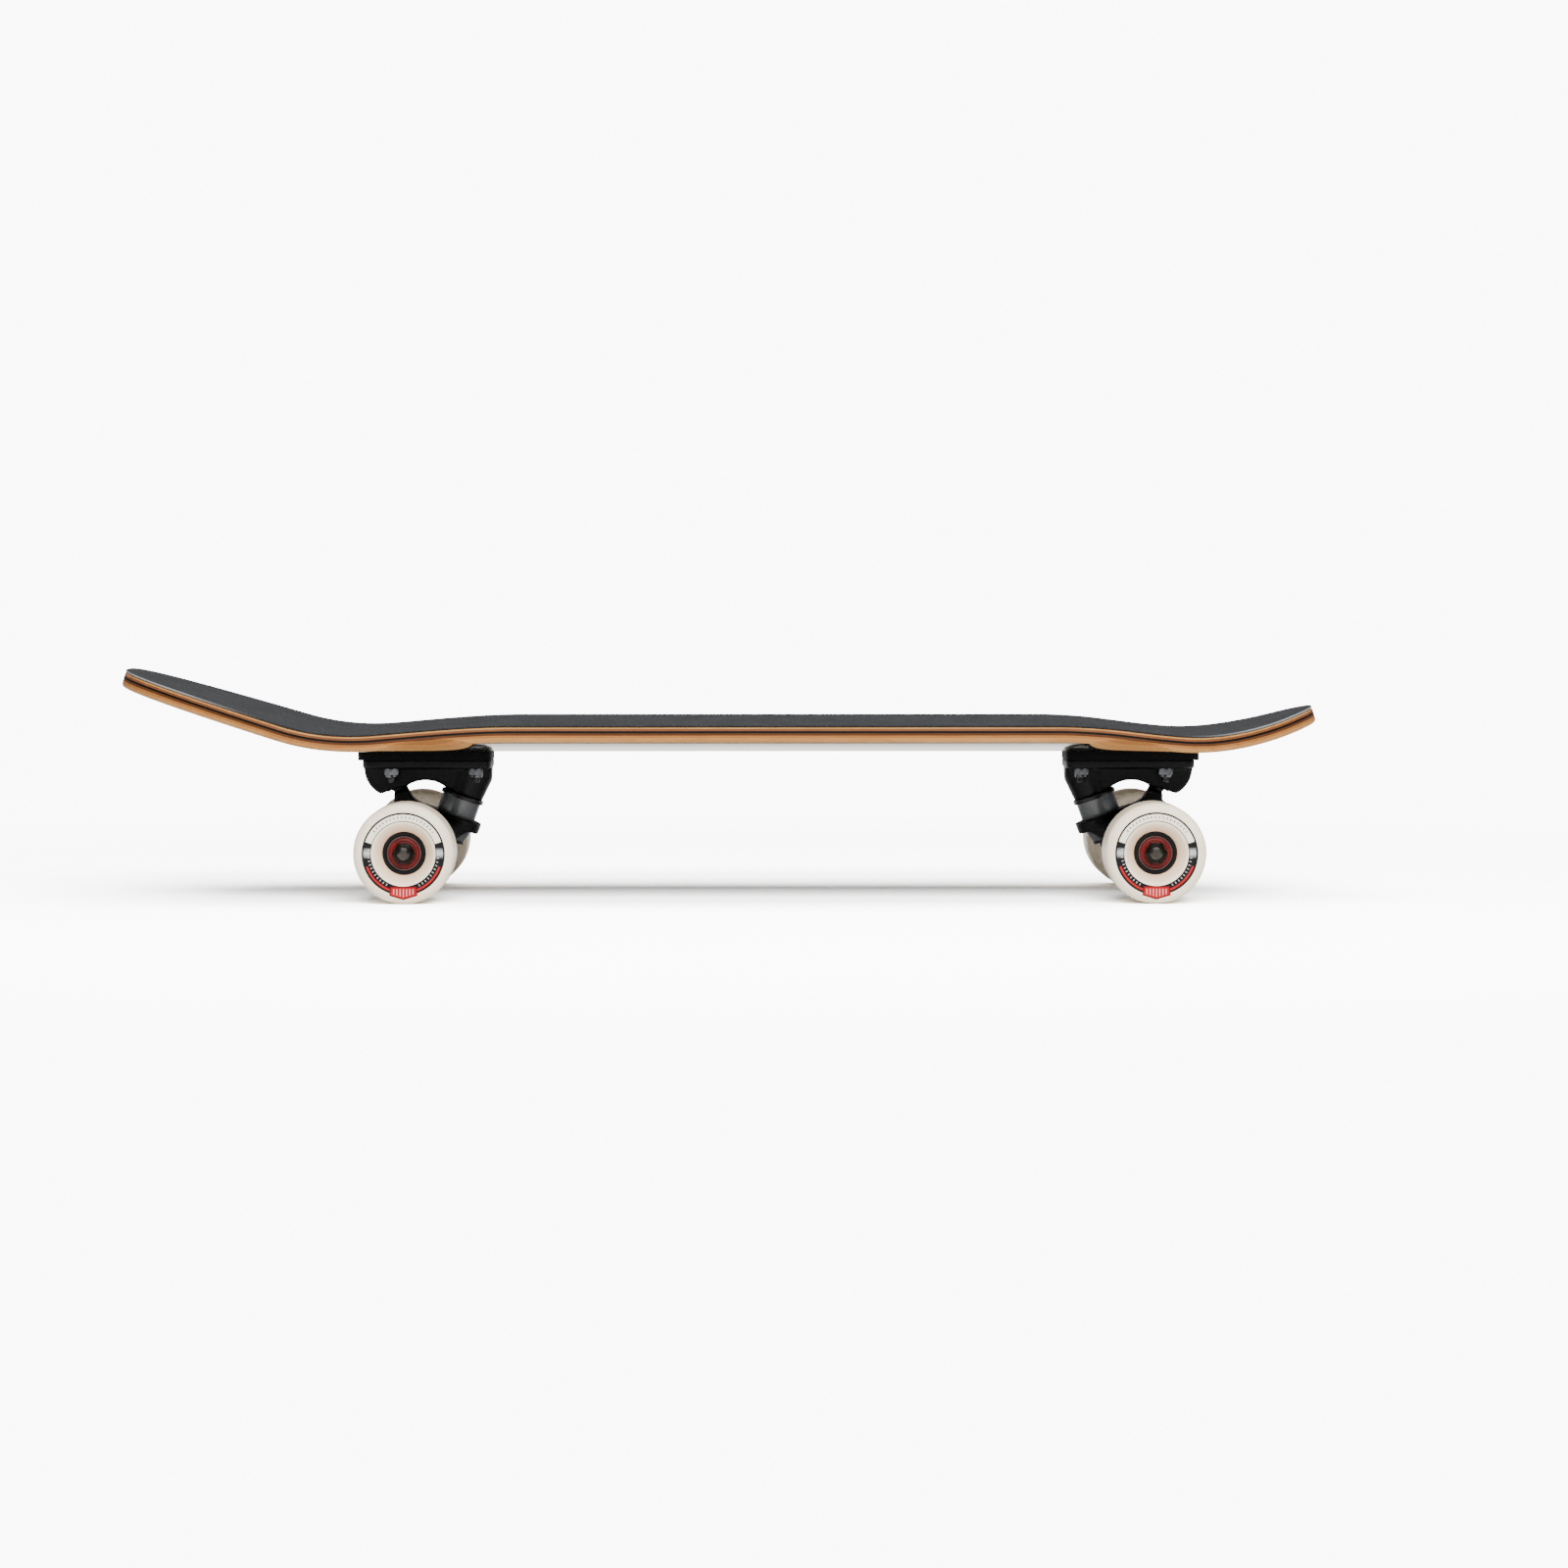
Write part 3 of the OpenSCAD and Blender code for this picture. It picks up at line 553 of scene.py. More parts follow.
class Shader:
    """A material being wired, with its pattern sizes in mm."""

    def __init__(self, name: str) -> None:
        """Starts from the default surface."""
        self.material = bpy.data.materials.new(name)
        self.material.use_nodes = True
        self.tree = self.material.node_tree
        self.surface = self.tree.nodes["Principled BSDF"]

    def node(
        self, kind: str, sockets: dict[str | int, Feed] | None = None, **settings: str | int | float
    ) -> bpy.types.Node:
        """Adds a node.

        Args:
            kind: Node type without its "ShaderNode" prefix.
            sockets: Input name or number to a value or an output to link.
            **settings: Properties of the node.

        Returns:
            The node.
        """
        made = self.tree.nodes.new("ShaderNode" + kind)
        for key, value in settings.items():
            setattr(made, key, value)
        for key, value in (sockets or {}).items():
            self.feed(made.inputs[key], value)
        return made

    def feed(self, socket: bpy.types.NodeSocket, value: Feed) -> None:
        """Links an output to a socket, or sets a constant on it.

        Args:
            socket: The input.
            value: The output or the constant.
        """
        if isinstance(value, bpy.types.NodeSocket):
            self.tree.links.new(value, socket)
        else:
            socket.default_value = value

    def set(self, **values: Feed) -> "Shader":
        """Feeds the surface's sockets.

        Args:
            **values: Socket names, with underscores for spaces, and what each gets.

        Returns:
            This shader.
        """
        for key, value in values.items():
            self.feed(self.surface.inputs[key.replace("_", " ")], value)
        return self

    def math(self, operation: str, a: Feed, b: Feed = 0.0, c: Feed = 0.0) -> bpy.types.NodeSocket:
        """One sum or comparison."""
        return self.node("Math", {0: a, 1: b, 2: c}, operation=operation).outputs[0]

    def product(self, first: Feed, *others: Feed) -> bpy.types.NodeSocket:
        """Multiplies values.

        Args:
            first: The first.
            *others: The rest.

        Returns:
            Their product.
        """
        for other in others:
            first = self.math("MULTIPLY", first, other)
        return first

    def window(self, value: Feed, low: float, high: float, soft: float) -> bpy.types.NodeSocket:
        """A mask between two limits.

        Args:
            value: What is measured.
            low: Lower limit.
            high: Upper limit.
            soft: Half the width of the soft border at each limit.

        Returns:
            1 between the limits and 0 outside.
        """
        rise = {"Value": value, "From Min": low - soft, "From Max": low + soft}
        fall = {"Value": value, "From Min": high + soft, "From Max": high - soft}
        return self.product(self.node("MapRange", rise).outputs[0], self.node("MapRange", fall).outputs[0])

    def mix(self, share: Feed, a: Feed, b: Feed, blend: str = "MIX") -> bpy.types.NodeSocket:
        """Mixes two colours."""
        return self.node("Mix", {0: share, 6: a, 7: b}, data_type="RGBA", blend_type=blend).outputs[2]

    def ramp(self, value: Feed, stops: Sequence[tuple[float, Colour]]) -> bpy.types.NodeSocket:
        """Colours along a value from 0 to 1.

        Args:
            value: The value.
            stops: Places and their colours.

        Returns:
            The colour.
        """
        made = self.node("ValToRGB", {0: value})
        strip = made.color_ramp
        while len(strip.elements) < len(stops):
            strip.elements.new(1.0)
        for element, (place, colour) in zip(strip.elements, stops):
            element.position, element.color = place, colour
        return made.outputs[0]

    def spot(self, stretch: Sequence[float] = (1, 1, 1)) -> bpy.types.NodeSocket:
        """Object coordinates in mm.

        Args:
            stretch: Factor on each axis; below 1 draws a pattern out.

        Returns:
            The vector.
        """
        where = self.node("TexCoord").outputs["Object"]
        scale = tuple(s / MM for s in stretch)
        return self.node("Mapping", {"Vector": where, "Scale": scale}).outputs[0]

    def attribute(self, name: str, output: str = "Fac") -> bpy.types.NodeSocket:
        """A value stored on the mesh."""
        return self.node("Attribute", attribute_name=name).outputs[output]

    def noise(
        self, size: float, stretch: Sequence[float] = (1, 1, 1), detail: float = 3.0
    ) -> bpy.types.NodeSocket:
        """Noise whose grains are size mm wide."""
        sockets = {"Vector": self.spot(stretch), "Scale": 1 / size, "Detail": detail, "Roughness": 0.6}
        return self.node("TexNoise", sockets).outputs[0]

    def span(self, value: Feed, low: float, high: float) -> bpy.types.NodeSocket:
        """Maps 0.3..0.7 of a noise to low..high."""
        sockets = {"Value": value, "From Min": 0.3, "From Max": 0.7, "To Min": low, "To Max": high}
        return self.node("MapRange", sockets).outputs[0]

    def bump(self, height: Feed, depth: float) -> "Shader":
        """Gives the surface relief that is depth mm deep."""
        made = self.node("Bump", {"Height": height, "Distance": depth * MM, "Strength": 1.0})
        return self.set(Normal=made.outputs[0])


@dataclass(frozen=True)
class Finish:
    """An even material with a fine grain: name, colours, and how its surface looks."""

    name: str
    dark: str
    light: str
    metal: float = 0.0
    rough: tuple[float, float] = (0.4, 0.5)
    grain: float = 0.5
    relief: float = 0.0
    coat: float = 0.0
    shine: float = 0.5
    stretch: tuple[float, float, float] = (1.0, 1.0, 1.0)

    def build(self) -> bpy.types.Material:
        """Wires the material.

        Returns:
            The material.
        """
        s = Shader(self.name)
        fine = s.noise(self.grain, self.stretch)
        broad = s.noise(self.grain * 18, detail=2)
        s.set(
            Base_Color=s.mix(s.span(broad, 0, 1), linear(self.dark), linear(self.light)),
            Roughness=s.math("ADD", s.span(fine, *self.rough), s.span(broad, -0.03, 0.03)),
            Metallic=self.metal,
            Coat_Weight=self.coat,
            Coat_Roughness=0.12,
            Specular_IOR_Level=self.shine,
        )
        if self.relief:
            s.bump(fine, self.relief)
        return s.material


class Paints:
    """Every material of the board, made once."""

    PLIES = ("B48A55", "B4824A", "9E6C38", "54331A", "020201", "74492B", "C29459")

    def __init__(self) -> None:
        """Makes them all."""
        self.edge = self.ply_edge()
        self.underside = self.lacquer()
        self.grip = self.grit()
        self.urethane = self.wheel()
        # black epoxy paint over sand-cast aluminium: a dull sheen over a faint sandy skin
        self.cast = Finish(
            "cast_black", "030303", "060606", rough=(0.3, 0.42), grain=0.6, relief=0.05, shine=0.12
        ).build()
        # hard moulded rubber of the riser pads: flat black
        self.riser = Finish(
            "riser_rubber", "020202", "040404", rough=(0.5, 0.62), grain=0.9, relief=0.03, shine=0.06
        ).build()
        # zinc plating on the truck bolts and nuts: grey metal with sharp highlights
        self.zinc = Finish(
            "zinc_steel", "3C3D3F", "626466", metal=1.0, rough=(0.14, 0.24), grain=0.8
        ).build()
        # phosphated steel of the kingpin and its nut: dark and dull
        self.phosphate = Finish(
            "phosphated_steel", "232323", "303030", metal=0.8, rough=(0.36, 0.5), grain=0.5
        ).build()
        # black zinc on the cup washers: near black with a soft metal edge
        self.black_zinc = Finish(
            "black_zinc", "0A0A0A", "121212", metal=0.5, rough=(0.24, 0.36), grain=0.7
        ).build()
        # drawn axle steel: fine streaks along the bar
        self.axle = Finish(
            "axle_steel", "34312D", "4A4742", metal=1.0, rough=(0.22, 0.34), grain=0.3, stretch=(1, 0.1, 1)
        ).build()
        # dark plating on the axle nuts
        self.axle_nut = Finish(
            "dark_nut_steel", "161513", "242321", metal=1.0, rough=(0.2, 0.32), grain=0.6
        ).build()
        # polished chrome steel of the bearing races and balls
        self.race = Finish(
            "bearing_steel", "4F4743", "655D59", metal=1.0, rough=(0.16, 0.26), grain=0.4
        ).build()
        # moulded rubber of the bearing seals: dull red
        self.seal = Finish(
            "seal_rubber", "4C0503", "5E0A06", rough=(0.38, 0.5), grain=0.35, relief=0.03, shine=0.25
        ).build()
        # moulded glass-filled nylon of the wheel cores: black with a weak sheen
        self.core = Finish(
            "nylon_core", "030302", "070706", rough=(0.34, 0.44), grain=0.5, relief=0.02, shine=0.15
        ).build()
        # cast urethane of the bushings, harder and shinier than the wheels
        self.bushing = Finish(
            "bushing_urethane", "3F4245", "4F5255", rough=(0.3, 0.4), grain=1.5, relief=0.01, coat=0.3
        ).build()

    def ply_edge(self) -> bpy.types.Material:
        """Sawn and sanded maple: the plies by their depth, with long fibres.

        Returns:
            The material.
        """
        s = Shader("maple_plies")
        depth = s.attribute("ply")
        wander = s.span(s.noise(9, (0.15, 1, 1)), -0.05, 0.05)
        place = s.math("DIVIDE", s.math("ADD", depth, wander), float(DECK.plies))
        stops: list[tuple[float, Colour]] = []
        for k, code in enumerate(self.PLIES):
            stops += [((k + 0.06) / DECK.plies, linear(code)), ((k + 0.94) / DECK.plies, linear(code))]
        bands = s.ramp(place, stops)
        fibres = s.noise(0.5, (0.03, 1, 1), detail=5)
        growth = s.noise(5, (0.06, 1, 1), detail=2)
        wood = s.mix(s.span(fibres, 0, 0.55), bands, s.mix(1.0, bands, linear("B98F6A"), "MULTIPLY"))
        wood = s.mix(s.span(growth, 0, 0.35), wood, s.mix(1.0, wood, linear("C9A078"), "MULTIPLY"))
        glue = s.math("ABSOLUTE", s.math("SUBTRACT", s.math("FRACT", s.math("ADD", depth, 0.5)), 0.5))
        seam = s.node("MapRange", {"Value": glue, "From Min": 0.1, "From Max": 0.02}).outputs[0]
        s.set(
            Base_Color=s.mix(s.math("MULTIPLY", seam, 0.35), wood, linear("5B3A22")),
            Roughness=s.span(fibres, 0.46, 0.62),
            Specular_IOR_Level=0.12,
        )
        s.bump(fibres, 0.03)
        return s.material

    def lacquer(self) -> bpy.types.Material:
        """Black stain under a glossy clear coat, with the grain just telling.

        Returns:
            The material.
        """
        s = Shader("underside_lacquer")
        grain = s.noise(0.9, (0.03, 1, 1), detail=5)
        broad = s.noise(30, (0.3, 1, 1), detail=2)
        s.set(
            Base_Color=s.mix(s.span(broad, 0, 1), linear("0B0B0C"), linear("131212")),
            Roughness=s.span(grain, 0.16, 0.26),
            Coat_Weight=1.0,
            Coat_Roughness=0.04,
            Coat_IOR=1.65,
            Coat_Tint=linear("F7EEDC"),
        )
        s.bump(grain, 0.006)
        return s.material

    def grit(self) -> bpy.types.Material:
        """Silicon carbide grit on black backing: painted glints on some facets over near-black, paler where
        worn.

        Returns:
            The material.
        """
        s = Shader("grip_tape")
        # the grit is drawn about three times as coarse as 80 grit, so that it shows
        sockets = {"Vector": s.spot(), "Scale": 1 / 0.55, "Randomness": 1.0}
        cells = s.node("TexVoronoi", sockets, feature="F1")
        facet = s.node("SeparateColor", {0: cells.outputs["Color"]}).outputs[0]
        cloud = s.noise(22, detail=4)
        grain = s.noise(0.8, detail=2)
        base = s.mix(s.span(cloud, 0, 1), linear("1A1B1D"), linear("232426"))
        # painted highlights: the brightest facet cells turn pale grey, as if catching the light; the wear
        # mix below is real paling of the cut edge
        painted_glint = s.node("MapRange", {"Value": facet, "From Min": 0.72, "From Max": 1.0}).outputs[0]
        painted_sparkle_and_wear = s.mix(s.math("MULTIPLY", painted_glint, 0.25), base, linear("55575A"))
        painted_sparkle_and_wear = s.mix(s.math("MULTIPLY", s.attribute("wear"), 0.75), painted_sparkle_and_wear, linear("8D9093"))
        s.set(Base_Color=painted_sparkle_and_wear, Roughness=s.span(grain, 0.65, 0.9), Specular_IOR_Level=0.15)
        s.bump(s.math("ADD", s.math("SUBTRACT", 1.0, cells.outputs["Distance"]), grain), 0.1)
        return s.material

    def wheel(self) -> bpy.types.Material:
        """Cream urethane with a painted peach glow by the core, standing in for light seen through the thin
        urethane there, with a printed ring and a plain badge.

        Returns:
            The material.
        """
        s = Shader("wheel_urethane")
        u, v, height = s.node("SeparateXYZ", {0: s.attribute("face", "Vector")}).outputs
        radius = s.math("SQRT", s.math("ADD", s.product(u, u), s.product(v, v)))
        angle = s.math("DEGREES", s.math("ARCTAN2", v, u))
        face = {"Value": height, "From Min": PRINT.face, "From Max": PRINT.face + 0.2}
        outside = s.node("MapRange", face).outputs[0]
        cloud = s.noise(14, detail=3)
        body = s.mix(s.span(cloud, 0, 1), linear("F4E3C6"), linear("FAEDD4"))
        # painted glow: peach colour mixed into the urethane towards the core, standing in for light seen
        # through it
        painted_core_glow = {"Value": radius, "From Min": 20.0, "From Max": 13.6, "To Max": 0.6}
        body = s.mix(s.node("MapRange", painted_core_glow).outputs[0], body, linear("F0B682"))
        inside_band = s.window(radius, *PRINT.band, PRINT.soft)
        above = s.product(s.window(angle, *PRINT.upper, 0.4), inside_band)
        band = s.mix(above, self.lower_band(s, v, radius, angle), self.upper_band(s, radius, angle))
        ink = s.mix(inside_band, body, band)
        rings = [s.window(radius, *line, PRINT.soft) for line in (PRINT.outer_line, PRINT.inner_line)]
        ink = s.mix(s.math("MAXIMUM", *rings), ink, linear("000000"))
        colour = s.mix(outside, body, self.badge(s, u, v, ink))
        fine = s.noise(0.7)
        s.set(
            Base_Color=colour,
            Roughness=s.span(fine, 0.3, 0.4),
            Subsurface_Weight=0.1,
            Subsurface_Radius=(1.0, 0.72, 0.5),
            Subsurface_Scale=2.2 * MM,
            Specular_IOR_Level=0.22,
        )
        s.bump(fine, 0.01)
        return s.material

    @staticmethod
    def ticks(s: Shader, radius: Feed, angle: Feed, place: tuple[float, float]) -> bpy.types.NodeSocket:
        """A row of ticks all round the ring.

        Args:
            s: The shader.
            radius: Distance from the axle.
            angle: Angle round it.
            place: Inner and outer radius of the ticks.

        Returns:
            Their mask.
        """
        comb = s.math("PINGPONG", s.math("ADD", angle, 720.0), PRINT.tick_spacing)
        return s.product(s.window(comb, 0.0, PRINT.tick_width, 0.1), s.window(radius, *place, PRINT.soft))

    def upper_band(self, s: Shader, radius: Feed, angle: Feed) -> bpy.types.NodeSocket:
        """Colour of the pale upper half of the ring.

        Args:
            s: The shader.
            radius: Distance from the axle.
            angle: Angle round it.

        Returns:
            The colour.
        """
        stretch = s.window(angle, *PRINT.upper_ticks, PRINT.soft_angle)
        marks = s.product(self.ticks(s, radius, angle, PRINT.upper_tick), stretch)
        return s.mix(marks, linear("F8EEDA"), linear("100E0C"))

    def lower_band(self, s: Shader, v: Feed, radius: Feed, angle: Feed) -> bpy.types.NodeSocket:
        """Colour of the dark lower half of the ring.

        Args:
            s: The shader.
            v: Height above the axle.
            radius: Distance from the axle.
            angle: Angle round it.

        Returns:
            The colour.
        """
        silver = linear("C4C6C8")
        fade = s.window(v, *PRINT.silver, PRINT.silver_fade)
        lower = s.mix(s.product(fade, 0.75), linear("000000"), silver)
        first, second, third = (s.window(angle, *arc, PRINT.soft_angle) for arc in PRINT.lower_ticks)
        arcs = s.math("ADD", first, s.math("ADD", second, third))
        marks = s.product(self.ticks(s, radius, angle, PRINT.lower_tick), arcs, 0.7)
        lower = s.mix(marks, lower, silver)
        zones = [s.window(angle, *arc, 0.4) for arc in PRINT.red_arcs]
        zone = s.math("MINIMUM", s.math("ADD", *zones), 1.0)
        red = s.product(zone, s.window(radius, *PRINT.red, PRINT.soft))
        return s.mix(red, lower, linear("A80009"))

    def badge(self, s: Shader, u: Feed, v: Feed, ink: Feed) -> bpy.types.NodeSocket:
        """Lays a plain badge with bars over the print.

        Args:
            s: The shader.
            u: Place along the board.
            v: Height above the axle.
            ink: Colour under it.

        Returns:
            The colour.
        """
        side = s.math("ABSOLUTE", u)
        ink = s.mix(self.shield(s, side, v, 0.0), ink, linear("5A0006"))
        ink = s.mix(self.shield(s, side, v, PRINT.badge_border), ink, linear("A80009"))
        comb = s.math("PINGPONG", s.math("ADD", u, 40.0), 1.0)
        bars = s.product(s.window(comb, 0.0, PRINT.bar, 0.08), self.shield(s, side, v, PRINT.badge_margin))
        return s.mix(s.product(bars, 0.75), ink, linear("F0B7B4"))

    @staticmethod
    def shield(s: Shader, side: Feed, v: Feed, inset: float) -> bpy.types.NodeSocket:
        """Mask of the badge.

        Args:
            s: The shader.
            side: Distance from its middle line.
            v: Height above the axle.
            inset: How far the outline is shrunk, in mm.

        Returns:
            The mask.
        """
        top = s.math("SUBTRACT", -PRINT.badge_top - inset, v)
        slant = s.product(s.math("ADD", v, PRINT.badge_top), PRINT.badge_lean)
        lean = s.math("SUBTRACT", s.math("SUBTRACT", PRINT.badge_half - inset, side), slant)
        foot = s.math("ADD", v, PRINT.badge_point - inset)
        point = s.math("SUBTRACT", foot, s.product(side, PRINT.badge_slope))
        least = s.math("MINIMUM", s.math("MINIMUM", top, lean), point)
        edge = {"Value": least, "From Min": -PRINT.soft, "From Max": PRINT.soft}
        return s.node("MapRange", edge).outputs[0]


# ---------------------------------------------------------------- pieces


def body_of(node: str) -> str:
    """Finds the CAD body that holds a node.

    Args:
        node: The node.

    Returns:
        Name of its body.
    """
    for body, nodes in frame["record"]["behaviour"]["bodies"].items():
        if node in nodes:
            return body
    raise KeyError(node)


def show(
    name: str,
    mesh: bpy.types.Mesh,
    paints: Sequence[bpy.types.Material],
    nodes: Sequence[str],
    smooth: float = 35.0,
    body: str | None = None,
) -> bpy.types.Object:
    """Hands a finished mesh to the scene.

    Args:
        name: Name of the piece.
        mesh: Its mesh in metres, in frame coordinates.
        paints: Its materials, in slot order.
        nodes: CAD nodes that it stands for.
        smooth: Edges that turn by more than this many degrees stay sharp.
        body: The CAD body that it rides on; by default that of its first node.

    Returns:
        The object.
    """
    mesh.name = name
    mesh.materials.clear()
    for paint in paints:
        mesh.materials.append(paint)
    mesh.shade_smooth()
    mesh.set_sharp_from_angle(angle=math.radians(smooth))
    obj = bpy.data.objects.new(name, mesh)
    bpy.context.scene.collection.objects.link(obj)
    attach(obj, body or body_of(nodes[0]))
    if nodes:
        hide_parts(*nodes)
    LOG.info("piece %-28s %6d faces", name, len(mesh.polygons))
    return obj


class DeckSurface:
    """The bent sheet that the deck and the grip tape follow."""

    # passes that bring a point back to its place along the sheet
    PASSES = 8

    @staticmethod
    def ease(t: float) -> float:
        """A smooth step from 0 at 0 to 1 at 1."""
        c = min(1.0, max(0.0, t))
        return c * c * (3 - 2 * c)

    def line(self, x: float) -> tuple[float, float]:
        """The side view of the sheet: flat, then an arc and a straight ramp at each end.

        Args:
            x: Place along the deck.

        Returns:
            Height of the middle of the plies, and the slope there in radians.
        """
        if x < DECK.tail_bend:
            run, radius, most, sign = DECK.tail_bend - x, DECK.tail_radius, DECK.tail_angle, -1
        else:
            run, radius, most, sign = max(0.0, x - DECK.nose_bend), DECK.nose_radius, DECK.nose_angle, 1
        bent = min(run, radius * math.sin(most))
        slope = math.asin(bent / radius)
        return DECK.middle + radius * (1 - math.cos(slope)) + (run - bent) * math.tan(slope), sign * slope

    def outline(self, x: float) -> float:
        """The outline of the deck from above.

        Args:
            x: Place along the deck.

        Returns:
            Half the width there.
        """
        half = DECK.length / 2
        shares = [
            ((x + half) / DECK.tail_round, DECK.tail_fullness),
            ((half - x) / DECK.nose_round, DECK.nose_fullness),
        ]
        least = min(
            1 if t >= 1 else (1 - (1 - max(0, t)) ** DECK.bluntness) ** (1 / full) for t, full in shares
        )
        return max(DECK.tip, DECK.width / 2 * least)

    def lift(self, x: float, y: float) -> float:
        """How far the concave raises a place.

        Args:
            x: Its place along the deck.
            y: Its place across the deck.

        Returns:
            The rise.
        """
        tail, nose = DECK.tail_bend - DECK.concave_tail, DECK.nose_bend - DECK.concave_nose
        rise = self.ease((x - tail) / DECK.concave_tail_fade)
        fall = self.ease((x - nose) / DECK.concave_nose_fade)
        depth = DECK.concave * rise * (1 - fall)
        flat = DECK.flat_width / 2
        return depth * (max(0.0, abs(y) - flat) / (DECK.width / 2 - flat)) ** 2

    def point(self, x: float, y: float, h: float) -> Vector:
        """Bends a flat place to the sheet.

        Args:
            x: Its place along the flat sheet.
            y: Its place across it.
            h: Its height above the middle of the plies.

        Returns:
            The place.
        """
        height, slope = self.line(x)
        up = h + self.lift(x, y)
        return Vector((x - math.sin(slope) * up, y, height + math.cos(slope) * up))

    def depth(self, p: Vector) -> float:
        """Undoes the bend for one place.

        Args:
            p: The place.

        Returns:
            Its height above the middle of the plies, measured square to the sheet.
        """
        x, up = p.x, 0.0
        for _ in range(self.PASSES):
            height, slope = self.line(x)
            up = (p.z - height) / math.cos(slope)
            x = p.x + math.sin(slope) * up
        return up - self.lift(x, p.y)

    def slab(self, inset: float, low: float, high: float, rounding: float, both: bool) -> Sculpt:
        """A sheet between two heights above the middle of the plies, bent to shape.

        Args:
            inset: How far its rim stays inside the deck's.
            low: Its lower face.
            high: Its upper face.
            rounding: Radius on its rim.
            both: Rounds the lower rim as well as the upper.

        Returns:
            The sculpt, bent.
        """
        made = Sculpt()
        bm = made.bm
        half = DECK.length / 2
        count = DECK.stations
        xs = [half * math.sin(math.pi / 2 * (2 * k / count - 1)) for k in range(count + 1)]
        rim = [(x, self.outline(x)) for x in xs]
        rim = [(x, w) for x, w in rim if w > DECK.tip or abs(x) == half]
        verts = [bm.verts.new((x, -w, low)) for x, w in rim]
        verts += [bm.verts.new((x, w, low)) for x, w in reversed(rim)]
        face = bm.faces.new(verts)
        if inset:
            ring = bmesh.ops.inset_region(bm, faces=[face], thickness=inset, use_even_offset=True)
            bmesh.ops.delete(bm, geom=ring["faces"], context="FACES")
        grown = bmesh.ops.extrude_face_region(bm, geom=bm.faces[:], use_keep_orig=True)
        top = [g for g in grown["geom"] if isinstance(g, bmesh.types.BMVert)]
        bmesh.ops.translate(bm, vec=(0, 0, high - low), verts=top)
        bmesh.ops.recalc_face_normals(bm, faces=bm.faces[:])
        level = (low + high) / 2
        corner = [e for e in bm.edges if e.calc_face_angle(0) > 1 and (both or e.verts[0].co.z > level)]
        bmesh.ops.bevel(
            bm, geom=corner, offset=rounding, offset_type="OFFSET", segments=4, profile=0.5, affect="EDGES",
            clamp_overlap=False, material=-1,
        )
        (reach_x, step_x), (reach_y, step_y) = DECK.cuts_across, DECK.cuts_along
        cuts = [(Vector((x, 0, 0)), Vector((1, 0, 0))) for x in range(-reach_x, reach_x + 1, step_x)]
        cuts += [(Vector((0, y, 0)), Vector((0, 1, 0))) for y in range(-reach_y, reach_y + 1, step_y)]
        for place, normal in cuts:
            bmesh.ops.bisect_plane(
                bm, geom=bm.verts[:] + bm.edges[:] + bm.faces[:], dist=1e-4, plane_co=place, plane_no=normal
            )
        for v in bm.verts:
            v.co = self.point(*v.co)
        return made


